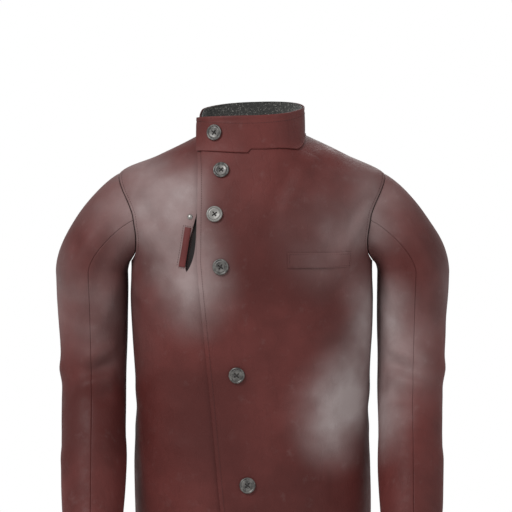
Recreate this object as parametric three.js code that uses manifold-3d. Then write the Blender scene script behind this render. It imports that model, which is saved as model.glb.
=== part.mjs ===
// A leather work jacket with an asymmetric front overlap, a stand collar and two-piece sleeves.
// Millimetres. +X is the wearer's left, -Y the front, +Z up. The origin is the middle of the neck seam.
import * as THREE from 'three';
import { mergeVertices } from 'three/addons/utils/BufferGeometryUtils.js';
import Module from 'manifold-3d';

const wasm = await Module();
wasm.setup();

// Driving dimensions.
const NECK_WIDTH = 168;
const SHOULDER_WIDTH = 428;
const CHEST_WIDTH = 376;
const WAIST_WIDTH = 362;
const HEM_WIDTH = 384;
const CHEST_FRONT_DEPTH = 126;
const CHEST_BACK_DEPTH = 122;
const BODY_LENGTH = 720;
const COLLAR_RIM_FRONT_Z = 30;
const COLLAR_RIM_BACK_Z = 48;
const LEATHER = 2.4;
const LINING = 1.4;
const LAYER_GAP = 0.6;
const SEAM_GAP = 0.3;
const POCKET_ROOM = 4;
const POCKET_CLEARANCE = 1.8;
const POCKET_CLOTH = 1;
const FACING = 1;
const FACING_GAP = 1.2;
const OVERLAP_EDGE_X = -84.5;
const OVERLAP_EDGE_HEM_X = -36;
const OVERLAP_SLANT_START_Z = -195;
const FOLD_TOP_X = -6;
const FOLD_HEM_X = 36;
const UNDERLAP_X = 26;
const LIFT_END_ANGLE = 55;
const ARMHOLE_HALF_ANGLE = 30;
const ARMHOLE_RADIUS = 66;
const ARMHOLE_CLEARANCE = 0.6;
const BICEP_Z = -216;
const BICEP_HALF = [57, 70];
const ELBOW_HALF = [53, 62];
const CUFF_HALF = [45, 52];
const HEAD_FALL_TOP = 28;
const HEAD_FALL_BOTTOM = 20;
const HEAD_FULLNESS = 0.8;
const SLEEVE_INNER_X = 200;
const UPPER_LENGTH = 160;
const FOREARM_LENGTH = 300;
const FOREARM_TILT = 30;
const BUTTON_DIAMETER = 25;
const BUTTON_THICKNESS = 4;
const STUD_DIAMETER = 12;
const SOCKET_DIAMETER = 13;
const POST_DIAMETER = 4.4;
const SOCKET_BORE = 6.2;
const BUTTON_RIM = 2.5;
const BUTTON_DISH = 1;
const FASTENER_SEAT = 0.7;
const SOCKET_THICKNESS = 1.5;
const STUD_BASE = 0.8;
const POST_HEIGHT = 1.5;
const STUD_CLEARANCE = 0.5;
const CHEST_WELT = { from_side: 35, z: -192, width: 100, height: 24, thickness: 1.6 };
const CHEST_BAG_DEPTH = 130;
const CHEST_BAG_MARGIN = 5;
const SLIT = { x: -96, z: -166, length: 88, width: 12, lean: 9 };
const SLIT_WELT = { width: 11, length: 64, thickness: 1.4 };
const SLIT_BAG = { width: 40, length: 112 };
const SLIT_STUD = { x: -101, z: -124, diameter: 8, height: 2.5 };
const TAB_GAP = 1.5;
const WELT_GAP = 0.8;

// Button places, from the front as [x, z]; the first is on the collar tab.
const COLLAR_BUTTON = [-60, 5];
const FRONT_BUTTONS = [[-48, -52], [-58, -122], [-48, -203], [-23, -371], [-7, -540]];

// The overlap stands off the underlap by the height of a stud, its socket, the facing and the leather.
const FACING_DROP = LEATHER + FACING_GAP;
const SOCKET_OFFSET = FASTENER_SEAT + STUD_BASE + STUD_CLEARANCE + SOCKET_THICKNESS;
const OVERLAP_LIFT = SOCKET_OFFSET + FASTENER_SEAT + FACING + FACING_DROP;

const RAD = Math.PI / 180;
const ROUNDNESS = 0.85;

// The body's shape: one ring per station, from the neck seam to the hem.
const STATIONS = [
  { half: NECK_WIDTH / 2, front: 82, back: 70, side_z: 3, front_z: -22, back_z: 3 },
  { half: (NECK_WIDTH + SHOULDER_WIDTH) / 4, front: 93, back: 86, side_z: -29, front_z: -56, back_z: -28 },
  { half: SHOULDER_WIDTH / 2, front: 108, back: 104, side_z: -62, front_z: -96, back_z: -75 },
  { half: SHOULDER_WIDTH / 2 - 6, front: 120, back: 116, side_z: -125, front_z: -142, back_z: -130 },
  { half: CHEST_WIDTH / 2 + 2, front: CHEST_FRONT_DEPTH, back: CHEST_BACK_DEPTH,
    side_z: -192, front_z: -196, back_z: -192 },
  ...[
    [CHEST_WIDTH / 2, 0, -2, 0.36],
    [(CHEST_WIDTH + WAIST_WIDTH) / 4 + 1, -5, -9, 0.475],
    [WAIST_WIDTH / 2, -9, -17, 0.6],
    [(WAIST_WIDTH + HEM_WIDTH) / 4, -6, -11, 0.73],
    [(WAIST_WIDTH + HEM_WIDTH) / 4 + 3, -3, -4, 0.865],
    [HEM_WIDTH / 2, 0, 0, 1],
  ].map(([half, front, back, share]) => ({
    half,
    front: CHEST_FRONT_DEPTH + front,
    back: CHEST_BACK_DEPTH + back,
    side_z: -BODY_LENGTH * share,
    front_z: -BODY_LENGTH * share,
    back_z: -BODY_LENGTH * share,
  })),
];
const HEM_V = STATIONS.length - 1;
const ARMHOLE_TOP_V = 1.93;
const ARMHOLE_BOTTOM_V = 4.1;
const ARMHOLE_STEPS = 10;
const ROWS_ABOVE = [0, 0.25, 0.5, 0.75, 1, 1.5];
const ROWS_BELOW = [5, 6, 7, 8, 9, HEM_V];

const clamp = THREE.MathUtils.clamp;
const lerp = THREE.MathUtils.lerp;
const power = (t, e) => Math.sign(t) * Math.abs(t) ** e;

// One value of the stations at v, by a Catmull-Rom spline through them.
function stationValue(key, v) {
  const i = clamp(Math.floor(v), 0, HEM_V - 1);
  const t = v - i;
  const p = [-1, 0, 1, 2].map((k) => STATIONS[clamp(i + k, 0, HEM_V)][key]);
  const m1 = (p[2] - p[0]) / 2;
  const m2 = (p[3] - p[1]) / 2;
  return (2 * t ** 3 - 3 * t ** 2 + 1) * p[1] + (t ** 3 - 2 * t ** 2 + t) * m1
    + (3 * t ** 2 - 2 * t ** 3) * p[2] + (t ** 3 - t ** 2) * m2;
}

// The body's surface. angle is 0 at the front, 90 at the wearer's left side; v runs from neck to hem.
function surface(angle, v) {
  const s = Math.sin(angle * RAD);
  const c = Math.cos(angle * RAD);
  const depth = c > 0 ? stationValue('front', v) : stationValue('back', v);
  const side = stationValue('side_z', v);
  const middle = c > 0 ? stationValue('front_z', v) : stationValue('back_z', v);
  return new THREE.Vector3(
    stationValue('half', v) * power(s, ROUNDNESS),
    -depth * power(c, ROUNDNESS),
    side + (middle - side) * Math.abs(c) ** 1.5,
  );
}

function surfaceNormal(angle, v) {
  const dv = 0.02;
  const low = Math.min(v + dv, HEM_V);
  const high = Math.max(v - dv, 0);
  const around = surface(angle + 1, v).sub(surface(angle - 1, v));
  const down = surface(angle, low).sub(surface(angle, high));
  return down.cross(around).normalize();
}

const offsetPoint = (angle, v, offset) => surface(angle, v).addScaledVector(surfaceNormal(angle, v), offset);

// The angle at which the front surface crosses x at v.
const angleAtX = (x, v) => Math.asin(clamp(power(x / stationValue('half', v), 1 / ROUNDNESS), -1, 1)) / RAD;

// The angle that is half a seam's gap short of the side, at 90 degrees.
function seamAngle(v, key) {
  return Math.acos((SEAM_GAP / 2 / stationValue(key, v)) ** (1 / ROUNDNESS)) / RAD;
}

// The armhole is an oval around each side; turn is 0 at its top and 90 at its front.
const armholeV = (turn) => lerp(ARMHOLE_TOP_V, ARMHOLE_BOTTOM_V, (1 - Math.cos(turn * RAD)) / 2);
const ARMHOLE_ROWS = Array.from({ length: ARMHOLE_STEPS + 1 }, (_, i) => armholeV((i / ARMHOLE_STEPS) * 180));
const ROWS = [...ROWS_ABOVE, ...ARMHOLE_ROWS, ...ROWS_BELOW];

function sideAngle(v, key) {
  const t = (2 * v - ARMHOLE_TOP_V - ARMHOLE_BOTTOM_V) / (ARMHOLE_BOTTOM_V - ARMHOLE_TOP_V);
  const reach = Math.abs(t) < 1 ? ARMHOLE_HALF_ANGLE * Math.sqrt(1 - t * t) : 0;
  return Math.min(90 - reach, seamAngle(v, key));
}

// How far the left front stands off the body where it laps over the right front.
function lift(angle, v) {
  const start = angleAtX(UNDERLAP_X + 4, v);
  return OVERLAP_LIFT * (1 - THREE.MathUtils.smoothstep(angle, start, LIFT_END_ANGLE));
}

function edgeX(v) {
  const z = stationValue('front_z', v);
  const t = clamp((z - OVERLAP_SLANT_START_Z) / (-BODY_LENGTH - OVERLAP_SLANT_START_Z), 0, 1);
  const x = lerp(OVERLAP_EDGE_X, OVERLAP_EDGE_HEM_X, t);
  return Math.max(x, -0.95 * stationValue('half', v));
}

const foldX = (v) => lerp(FOLD_TOP_X, FOLD_HEM_X, -stationValue('front_z', v) / BODY_LENGTH);

// Solids. Every panel is a box grid moved onto a shape, and flipped when the shape mirrors it.
function signedVolume(geometry) {
  const p = geometry.attributes.position;
  const at = (i) => new THREE.Vector3().fromBufferAttribute(p, geometry.index.array[i]);
  let total = 0;
  for (let i = 0; i < geometry.index.count; i += 3) {
    total += at(i).dot(at(i + 1).cross(at(i + 2)));
  }
  return total / 6;
}

function closed(geometry) {
  geometry.deleteAttribute('normal');
  geometry.deleteAttribute('uv');
  const merged = mergeVertices(geometry, 1e-3);
  if (signedVolume(merged) < 0) {
    const index = merged.index.array;
    for (let i = 0; i < index.length; i += 3) {
      [index[i], index[i + 1]] = [index[i + 1], index[i]];
    }
  }
  return merged;
}

// A sheet: place(u, row, depth) with u and depth 0 to 1 and row one of rows.
function sheet(columns, rows, place) {
  const geometry = new THREE.BoxGeometry(1, 1, 1, columns, 1, rows.length - 1);
  const p = geometry.attributes.position;
  for (let i = 0; i < p.count; i += 1) {
    const row = rows[Math.round((p.getZ(i) + 0.5) * (rows.length - 1))];
    const point = place(p.getX(i) + 0.5, row, p.getY(i) + 0.5);
    p.setXYZ(i, point.x, point.y, point.z);
  }
  return closed(geometry);
}

// A tube: place(turn, row, depth) with turn 0 to 360 degrees all round.
function tube(around, rows, place) {
  const last = rows.length - 1;
  const inner = rows.map((_, j) => new THREE.Vector2(1, j));
  const outer = rows.map((_, j) => new THREE.Vector2(2, last - j));
  const profile = [...inner, ...outer, inner[0]];
  const geometry = new THREE.LatheGeometry(profile, around);
  const p = geometry.attributes.position;
  for (let i = 0; i < p.count; i += 1) {
    const corner = profile[i % profile.length];
    const turn = ((Math.floor(i / profile.length) % around) / around) * 360;
    const point = place(turn, rows[corner.y], corner.x - 1);
    p.setXYZ(i, point.x, point.y, point.z);
  }
  return closed(geometry);
}

function toManifold(geometry) {
  return new wasm.Manifold(new wasm.Mesh({
    numProp: 3,
    vertProperties: Float32Array.from(geometry.attributes.position.array),
    triVerts: Uint32Array.from(geometry.index.array),
  }));
}

function subtract(geometry, cutter) {
  const mesh = toManifold(geometry).subtract(toManifold(cutter)).getMesh();
  const result = new THREE.BufferGeometry();
  result.setAttribute('position', new THREE.BufferAttribute(Float32Array.from(mesh.vertProperties), 3));
  result.setIndex(new THREE.BufferAttribute(Uint32Array.from(mesh.triVerts), 1));
  return result;
}

const jacket = new THREE.Group();
const paint = {
  leather: { color: 0x6a4341, roughness: 0.62, metalness: 0 },
  dark: { color: 0x512926, roughness: 0.66, metalness: 0 },
  lining: { color: 0x3c3c38, roughness: 0.95, metalness: 0 },
  button: { color: 0x66625e, roughness: 0.5, metalness: 0.3 },
  metal: { color: 0x8a8782, roughness: 0.4, metalness: 0.9 },
};

function add(name, geometry, look) {
  const mesh = new THREE.Mesh(geometry, new THREE.MeshStandardMaterial(paint[look]));
  mesh.name = name;
  jacket.add(mesh);
  return mesh;
}

// A body panel. from and to give its edges' angles at a row; top gives its outer face's offset.
function panel(columns, rows, from, to, top, thickness) {
  return sheet(columns, rows, (u, v, depth) => {
    const angle = lerp(from(v), to(v), u);
    return offsetPoint(angle, v, top(angle, v) - thickness * (1 - depth));
  });
}

const flush = () => 0;
// The lining hangs clear of the pockets and is drawn out to the leather where it is sewn at the hem.
function liningDrop(v) {
  const hem = THREE.MathUtils.smoothstep(v, HEM_V - 1, HEM_V);
  return LEATHER + LAYER_GAP + POCKET_ROOM * (1 - hem);
}
const liningTop = (angle, v) => -liningDrop(v);
const seamTurn = (v) => SEAM_GAP / stationValue('half', v) / RAD;
const rightSide = (v) => -sideAngle(v, 'front');
const leftSide = (v) => sideAngle(v, 'front');
const underlap = (v) => angleAtX(UNDERLAP_X, v);
const fold = (v) => angleAtX(foldX(v), v);
const overlapEdge = (v) => angleAtX(edgeX(v), v);

// The place on the front surface at x and z, as its angle and v.
function spotAt(x, z) {
  let low = 0;
  let high = HEM_V;
  for (let i = 0; i < 40; i += 1) {
    const v = (low + high) / 2;
    if (surface(angleAtX(x, v), v).z > z) {
      low = v;
    } else {
      high = v;
    }
  }
  return { angle: angleAtX(x, low), v: low };
}

// A flat patch on the front: x and z give its middle, lean turns it, top is its outer face's offset.
function patch(middle, width, height, lean, top, thickness, columns, rows) {
  const steps = Array.from({ length: rows + 1 }, (_, i) => i / rows - 0.5);
  const c = Math.cos(lean * RAD);
  const s = Math.sin(lean * RAD);
  return sheet(columns, steps, (u, t, depth) => {
    const across = (u - 0.5) * width;
    const up = t * height;
    const { angle, v } = spotAt(middle.x + across * c + up * s, middle.z + up * c - across * s);
    return offsetPoint(angle, v, top(angle, v) - thickness * (1 - depth));
  });
}

// Turns +Y to the direction out and keeps +Z as upright as it can.
function basis(out) {
  const up = new THREE.Vector3(0, 0, 1).addScaledVector(out, -out.z).normalize();
  return new THREE.Matrix4().makeBasis(out.clone().cross(up), out, up);
}

// Stands a geometry that is built along +Y on the front at x and z, offset from the surface.
function stand(geometry, x, z, offset) {
  const { angle, v } = spotAt(x, z);
  const base = offsetPoint(angle, v, offset);
  return geometry.applyMatrix4(basis(surfaceNormal(angle, v))).translate(base.x, base.y, base.z);
}

// Body.
const backSide = (sign) => (v) => 180 + sign * sideAngle(v, 'back');
add('back_panel', panel(12, ROWS, backSide(-1), backSide(1), flush, LEATHER), 'leather');
add('back_lining', panel(12, ROWS, backSide(-1), backSide(1), liningTop, LINING), 'lining');

const slitShape = new THREE.Shape();
slitShape.absellipse(0, 0, SLIT.width / 2, SLIT.length / 2, 0, Math.PI * 2);
const slitCutter = new THREE.ExtrudeGeometry(slitShape, { depth: 4 * LEATHER, curveSegments: 8, bevelEnabled: false });
slitCutter.translate(0, 0, -2 * LEATHER).rotateZ(-SLIT.lean * RAD).rotateX(-Math.PI / 2);
slitCutter.rotateY(Math.PI);
const rightPanel = panel(8, ROWS, rightSide, underlap, flush, LEATHER);
add('right_front', subtract(rightPanel, closed(stand(slitCutter, SLIT.x, SLIT.z, -LEATHER / 2))), 'leather');
add('right_front_lining', panel(8, ROWS, rightSide, underlap, liningTop, LINING), 'lining');

const besideFold = (v) => fold(v) + seamTurn(v);
const besideUnderlap = (v) => Math.max(underlap(v) + 10 * seamTurn(v), besideFold(v));
const leftLiningTop = (angle, v) => lift(angle, v) - liningDrop(v);
add('left_front', panel(8, ROWS, besideFold, leftSide, lift, LEATHER), 'leather');
add('left_front_lining', panel(8, ROWS, besideUnderlap, leftSide, leftLiningTop, LINING), 'lining');

// Overlap flap and its facing, which hinge on the fold.
const overlapTop = () => OVERLAP_LIFT;
add('front_overlap', panel(7, ROWS, overlapEdge, fold, overlapTop, LEATHER), 'leather');
const facingTop = () => OVERLAP_LIFT - FACING_DROP;
add('overlap_facing', panel(7, ROWS, overlapEdge, fold, facingTop, FACING), 'lining');

// Collar: one band from the underlap's end, round the back, to the overlap's fold; then the tab.
const rimZ = (angle) => lerp(COLLAR_RIM_FRONT_Z, COLLAR_RIM_BACK_Z, (1 - Math.cos(angle * RAD)) / 2);

// The level direction that points squarely out of the neck seam.
function neckOut(angle) {
  const along = surface(angle + 1, 0).sub(surface(angle - 1, 0));
  return new THREE.Vector3(along.y, -along.x, 0).normalize();
}

function collarBand(columns, from, to, liftAt, baseGap, drop, thickness) {
  return sheet(columns, [0, 0.5, 1], (u, t, depth) => {
    const angle = lerp(from, to, u);
    const out = neckOut(angle);
    const offset = liftAt(angle) - drop - thickness * (1 - depth);
    const point = surface(angle, 0).addScaledVector(out, offset);
    point.z = lerp(offsetPoint(angle, 0, liftAt(angle)).z + baseGap, rimZ(angle), t);
    return point;
  });
}

const collarLift = (angle) => (angle < -180 ? lift(angle + 360, 0) : 0);
const collarFrom = underlap(0);
const collarTo = besideFold(0) - 360;
add('collar', collarBand(30, collarFrom, collarTo, collarLift, SEAM_GAP, 0, LEATHER), 'leather');
add('collar_lining', collarBand(30, collarFrom, collarTo, collarLift, SEAM_GAP, FACING_DROP, LINING), 'lining');
add('collar_tab', collarBand(7, overlapEdge(0), fold(0), overlapTop, TAB_GAP, 0, LEATHER), 'leather');
add('collar_tab_lining', collarBand(7, overlapEdge(0), fold(0), overlapTop, TAB_GAP, FACING_DROP, FACING), 'lining');

// Pockets.
const weltTop = (angle, v) => lift(angle, v) + WELT_GAP + CHEST_WELT.thickness;
const { width: weltWidth, height: weltHeight } = CHEST_WELT;
const weltMiddle = { x: (CHEST_WIDTH - weltWidth) / 2 - CHEST_WELT.from_side, z: CHEST_WELT.z };
add('chest_pocket_welt', patch(weltMiddle, weltWidth, weltHeight, 0, weltTop, CHEST_WELT.thickness, 10, 2), 'dark');
const bagTop = (angle, v) => lift(angle, v) - LEATHER - POCKET_CLEARANCE;
const chestBag = { x: weltMiddle.x, z: CHEST_WELT.z - CHEST_BAG_DEPTH / 2 };
const chestBagWidth = weltWidth - 2 * CHEST_BAG_MARGIN;
add('chest_pocket_bag', patch(chestBag, chestBagWidth, CHEST_BAG_DEPTH, 0, bagTop, POCKET_CLOTH, 8, 6), 'lining');

const slitBagTop = () => -LEATHER - POCKET_CLEARANCE;
const slitBag = patch(SLIT, SLIT_BAG.width, SLIT_BAG.length, SLIT.lean, slitBagTop, POCKET_CLOTH, 4, 6);
add('slit_pocket_bag', slitBag, 'lining');
const slitWeltTop = () => WELT_GAP + SLIT_WELT.thickness;
const slitWeltMiddle = { x: SLIT.x - (SLIT.width + SLIT_WELT.width) / 2, z: SLIT.z };
const { width: lipWidth, length: lipLength, thickness: lipThickness } = SLIT_WELT;
add('slit_pocket_welt',
  patch(slitWeltMiddle, lipWidth, lipLength, SLIT.lean, slitWeltTop, lipThickness, 2, 6), 'dark');

function disc(diameter, height, sides) {
  return new THREE.CylinderGeometry(diameter / 2, diameter / 2, height, sides).translate(0, height / 2, 0);
}

const slitStud = disc(SLIT_STUD.diameter, SLIT_STUD.height, 12);
add('slit_pocket_stud', closed(stand(slitStud, SLIT_STUD.x, SLIT_STUD.z, SEAM_GAP)), 'metal');

// Fasteners: a button on the outside, the press-stud socket behind it and the stud on the piece below.
function lathe(points, sides) {
  return new THREE.LatheGeometry(points.map(([x, y]) => new THREE.Vector2(x, y)), sides);
}

const buttonRadius = BUTTON_DIAMETER / 2;
const buttonProfile = [[0, 0], [buttonRadius - 1, 0], [buttonRadius, 1], [buttonRadius, BUTTON_THICKNESS - 1],
  [buttonRadius - 1, BUTTON_THICKNESS], [buttonRadius - BUTTON_RIM, BUTTON_THICKNESS - BUTTON_DISH],
  [0, BUTTON_THICKNESS - BUTTON_DISH]];
const socketProfile = [[SOCKET_BORE / 2, -SOCKET_THICKNESS], [SOCKET_DIAMETER / 2, -SOCKET_THICKNESS],
  [SOCKET_DIAMETER / 2, 0], [SOCKET_BORE / 2, 0], [SOCKET_BORE / 2, -SOCKET_THICKNESS]];
const studProfile = [[0, 0], [STUD_DIAMETER / 2, 0], [STUD_DIAMETER / 2, STUD_BASE],
  [POST_DIAMETER / 2, STUD_BASE], [POST_DIAMETER / 2, STUD_BASE + POST_HEIGHT], [0, STUD_BASE + POST_HEIGHT]];

FRONT_BUTTONS.forEach(([x, z], i) => {
  const button = stand(lathe(buttonProfile, 16), x, z, OVERLAP_LIFT + FASTENER_SEAT);
  add(`front_button_${i + 1}`, closed(button), 'button');
  add(`front_socket_${i + 1}`, closed(stand(lathe(socketProfile, 12), x, z, SOCKET_OFFSET)), 'metal');
  add(`front_stud_${i + 1}`, closed(stand(lathe(studProfile, 12), x, z, FASTENER_SEAT)), 'metal');
});

// Stands a lathe on the collar, which is upright.
function standOnCollar(geometry, offset) {
  const [x, z] = COLLAR_BUTTON;
  const angle = angleAtX(x, 0);
  const out = neckOut(angle);
  const base = surface(angle, 0).setZ(z).addScaledVector(out, offset);
  return closed(geometry.applyMatrix4(basis(out)).translate(base.x, base.y, base.z));
}

add('collar_button', standOnCollar(lathe(buttonProfile, 16), OVERLAP_LIFT + FASTENER_SEAT), 'button');
add('collar_socket', standOnCollar(lathe(socketProfile, 12), SOCKET_OFFSET), 'metal');
add('collar_stud', standOnCollar(lathe(studProfile, 12), FASTENER_SEAT), 'metal');

// Sleeves. The path hangs down from the bicep ring and tilts forward through the elbow.
const SLEEVE_LENGTH = UPPER_LENGTH + FOREARM_LENGTH;
const BEND_START = 60;
const tiltAt = (d) => FOREARM_TILT * THREE.MathUtils.smoothstep(d, BEND_START, 2 * UPPER_LENGTH - BEND_START) * RAD;

function sleeveHalf(d, k) {
  const t = d / UPPER_LENGTH;
  return t < 1 ? lerp(BICEP_HALF[k], ELBOW_HALF[k], t)
    : lerp(ELBOW_HALF[k], CUFF_HALF[k], (d - UPPER_LENGTH) / FOREARM_LENGTH);
}

function sleeveCentre(d) {
  const steps = 48;
  const centre = new THREE.Vector3(SLEEVE_INNER_X + sleeveHalf(d, 0), 0, BICEP_Z);
  for (let i = 0; i < steps; i += 1) {
    const tilt = tiltAt(((i + 0.5) / steps) * d);
    centre.y -= (Math.sin(tilt) * d) / steps;
    centre.z -= (Math.cos(tilt) * d) / steps;
  }
  return centre;
}

// A point of the left sleeve; turn is 0 outside, 90 in front and 180 inside, drop goes into the wall.
function sleevePoint(turn, d, drop) {
  const tilt = tiltAt(d);
  const across = (sleeveHalf(d, 0) - drop) * Math.cos(turn * RAD);
  const forward = (sleeveHalf(d, 1) - drop) * Math.sin(turn * RAD);
  const step = new THREE.Vector3(across, -forward * Math.cos(tilt), forward * Math.sin(tilt));
  return sleeveCentre(d).add(step);
}

// A point of the left sleeve's head, from the armhole at t = 0 to the bicep ring at t = 1.
function headPoint(turn, t, drop) {
  const spread = 1 - (ARMHOLE_CLEARANCE + drop) / ARMHOLE_RADIUS;
  const middle = (ARMHOLE_TOP_V + ARMHOLE_BOTTOM_V) / 2;
  const half = (ARMHOLE_BOTTOM_V - ARMHOLE_TOP_V) / 2;
  const angle = 90 - ARMHOLE_HALF_ANGLE * spread * Math.sin(turn * RAD);
  const v = middle - half * spread * Math.cos(turn * RAD);
  const start = offsetPoint(angle, v, SEAM_GAP);
  const end = sleevePoint(turn, -SEAM_GAP, drop);
  const fall = lerp(HEAD_FALL_TOP, HEAD_FALL_BOTTOM, (1 - Math.cos(turn * RAD)) / 2) * RAD;
  const reach = start.distanceTo(end) * HEAD_FULLNESS;
  const startPull = new THREE.Vector3(Math.cos(fall), 0, -Math.sin(fall)).multiplyScalar(reach);
  const endPull = new THREE.Vector3(0, 0, -reach);
  return new THREE.Vector3()
    .addScaledVector(start, 2 * t ** 3 - 3 * t ** 2 + 1)
    .addScaledVector(startPull, t ** 3 - 2 * t ** 2 + t)
    .addScaledVector(end, 3 * t ** 2 - 2 * t ** 3)
    .addScaledVector(endPull, t ** 3 - t ** 2);
}

const SLEEVE_LAYERS = {
  outer: { drop: 0 },
  inner: { drop: LEATHER },
  lining_outer: { drop: LEATHER + LAYER_GAP },
  lining_inner: { drop: LEATHER + LAYER_GAP + LINING },
};
const HEAD_ROWS = [0, 0.2, 0.4, 0.6, 0.8, 1];
const UPPER_ROWS = [0, 0.25, 0.5, 0.75, 1].map((t) => lerp(0, UPPER_LENGTH - SEAM_GAP, t));
const FOREARM_ROWS = [0, 0.12, 0.25, 0.4, 1].map((t) => lerp(UPPER_LENGTH, SLEEVE_LENGTH, t));
const SEAM_TURN = SEAM_GAP / 2 / CUFF_HALF[0] / RAD;
const HALVES = { top: [-90 + SEAM_TURN, 90 - SEAM_TURN], under: [90 + SEAM_TURN, 270 - SEAM_TURN] };
const AROUND = 2 * ARMHOLE_STEPS;

for (const [side, sign] of [['left', 1], ['right', -1]]) {
  const mirrored = (point) => point.setX(point.x * sign);
  for (const [half, [from, to]] of Object.entries(HALVES)) {
    const wall = (pointAt) => (u, row, depth) => {
      const layer = depth > 0.5 ? SLEEVE_LAYERS.outer : SLEEVE_LAYERS.inner;
      return mirrored(pointAt(lerp(from, to, u), row, layer));
    };
    const onHead = (turn, t, layer) => headPoint(turn, t, layer.drop);
    const onSleeve = (turn, d, layer) => sleevePoint(turn, d, layer.drop);
    add(`${side}_sleeve_head_${half}`, sheet(AROUND / 2, HEAD_ROWS, wall(onHead)), 'leather');
    add(`${side}_upper_sleeve_${half}`, sheet(AROUND / 2, UPPER_ROWS, wall(onSleeve)), 'leather');
    add(`${side}_forearm_sleeve_${half}`, sheet(AROUND / 2, FOREARM_ROWS, wall(onSleeve)), 'leather');
  }
  const liningLayer = (depth) => (depth > 0.5 ? SLEEVE_LAYERS.lining_outer : SLEEVE_LAYERS.lining_inner);
  const liningHead = (turn, t, depth) => mirrored(headPoint(turn, t, liningLayer(depth).drop));
  const liningTube = (turn, d, depth) => mirrored(sleevePoint(turn, d, liningLayer(depth).drop));
  add(`${side}_sleeve_head_lining`, tube(AROUND, HEAD_ROWS, liningHead), 'lining');
  add(`${side}_upper_sleeve_lining`, tube(AROUND, UPPER_ROWS, liningTube), 'lining');
  add(`${side}_forearm_sleeve_lining`, tube(AROUND, FOREARM_ROWS, liningTube), 'lining');
}

export default jacket;
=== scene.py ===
import math

import bmesh
import bpy
import numpy as np
from mathutils import Matrix, Vector, noise


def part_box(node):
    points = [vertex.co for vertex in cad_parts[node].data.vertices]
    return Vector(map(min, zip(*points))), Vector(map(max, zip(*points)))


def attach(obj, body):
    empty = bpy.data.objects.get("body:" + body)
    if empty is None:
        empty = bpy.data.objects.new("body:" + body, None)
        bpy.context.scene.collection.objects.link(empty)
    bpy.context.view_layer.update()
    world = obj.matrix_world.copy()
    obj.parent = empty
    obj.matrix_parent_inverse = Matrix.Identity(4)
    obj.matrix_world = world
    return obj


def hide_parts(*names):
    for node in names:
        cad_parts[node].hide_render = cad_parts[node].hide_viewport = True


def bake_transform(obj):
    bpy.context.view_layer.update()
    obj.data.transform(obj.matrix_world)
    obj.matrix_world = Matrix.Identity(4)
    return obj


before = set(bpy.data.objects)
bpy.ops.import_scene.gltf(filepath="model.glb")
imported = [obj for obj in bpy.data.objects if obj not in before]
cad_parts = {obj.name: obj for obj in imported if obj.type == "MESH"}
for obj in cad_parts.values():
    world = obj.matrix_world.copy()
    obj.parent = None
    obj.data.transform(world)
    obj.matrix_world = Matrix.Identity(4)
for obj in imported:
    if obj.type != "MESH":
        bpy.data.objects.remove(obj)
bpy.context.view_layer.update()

# Camera: a long lens three metres in front of the chest and a little above it, which looks
# slightly down at the jacket.
CAMERA_DISTANCE = 3.0
CAMERA_LENS = 136
CAMERA_RISE = math.radians(3)
AIM = Vector((0.006, -0.1, -0.186))

camera_data = bpy.data.cameras.new("camera")
camera_data.lens = CAMERA_LENS
camera = bpy.data.objects.new("camera", camera_data)
camera.location = AIM + CAMERA_DISTANCE * Vector((0, -math.cos(CAMERA_RISE), math.sin(CAMERA_RISE)))
camera.rotation_euler = (math.pi / 2 - CAMERA_RISE, 0, 0)
bpy.context.scene.collection.objects.link(camera)
bpy.context.scene.camera = camera
bpy.context.scene.view_settings.view_transform = "Standard"

# Studio: a white surround that lights softly, a large key from the upper left, a fill from the
# right, and a pale floor where the wearer would stand.
SURROUND_LIGHT = 0.5
FLOOR_HEIGHT = -1.45
FLOOR_SIZE = 9.0

world = bpy.data.worlds.new("studio")
world.use_nodes = True
bpy.context.scene.world = world
surround = world.node_tree.nodes["Background"]
surround.inputs["Color"].default_value = (1, 1, 1, 1)
seen = world.node_tree.nodes.new("ShaderNodeLightPath")
strength = world.node_tree.nodes.new("ShaderNodeMapRange")
strength.inputs["To Min"].default_value = SURROUND_LIGHT
strength.inputs["To Max"].default_value = 1.0
world.node_tree.links.new(seen.outputs["Is Camera Ray"], strength.inputs["Value"])
world.node_tree.links.new(strength.outputs["Result"], surround.inputs["Strength"])


def studio_light(name, place, watts, size):
    data = bpy.data.lights.new(name, "AREA")
    data.energy = watts
    data.size = size
    lamp = bpy.data.objects.new(name, data)
    lamp.location = place
    lamp.rotation_euler = (AIM - Vector(place)).to_track_quat("-Z", "Y").to_euler()
    bpy.context.scene.collection.objects.link(lamp)


studio_light("key_light", (-1.7, -2.0, 1.7), 62, 1.1)
studio_light("fill_light", (2.2, -2.0, 0.4), 14, 2.0)
studio_light("back_light", (0.4, 2.4, 1.6), 30, 1.6)


class Value:
    """A shader socket that Python's operators work on."""

    def __init__(self, shader, socket):
        self.shader = shader
        self.socket = socket

    def math(self, operation, other=0.0, flip=False):
        pair = (other, self) if flip else (self, other)
        return self.shader.node("ShaderNodeMath", {"operation": operation}, dict(enumerate(pair)))

    def __add__(self, other):
        return self.math("ADD", other)

    __radd__ = __add__

    def __sub__(self, other):
        return self.math("SUBTRACT", other)

    def __rsub__(self, other):
        return self.math("SUBTRACT", other, flip=True)

    def __mul__(self, other):
        return self.math("MULTIPLY", other)

    __rmul__ = __mul__


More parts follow.
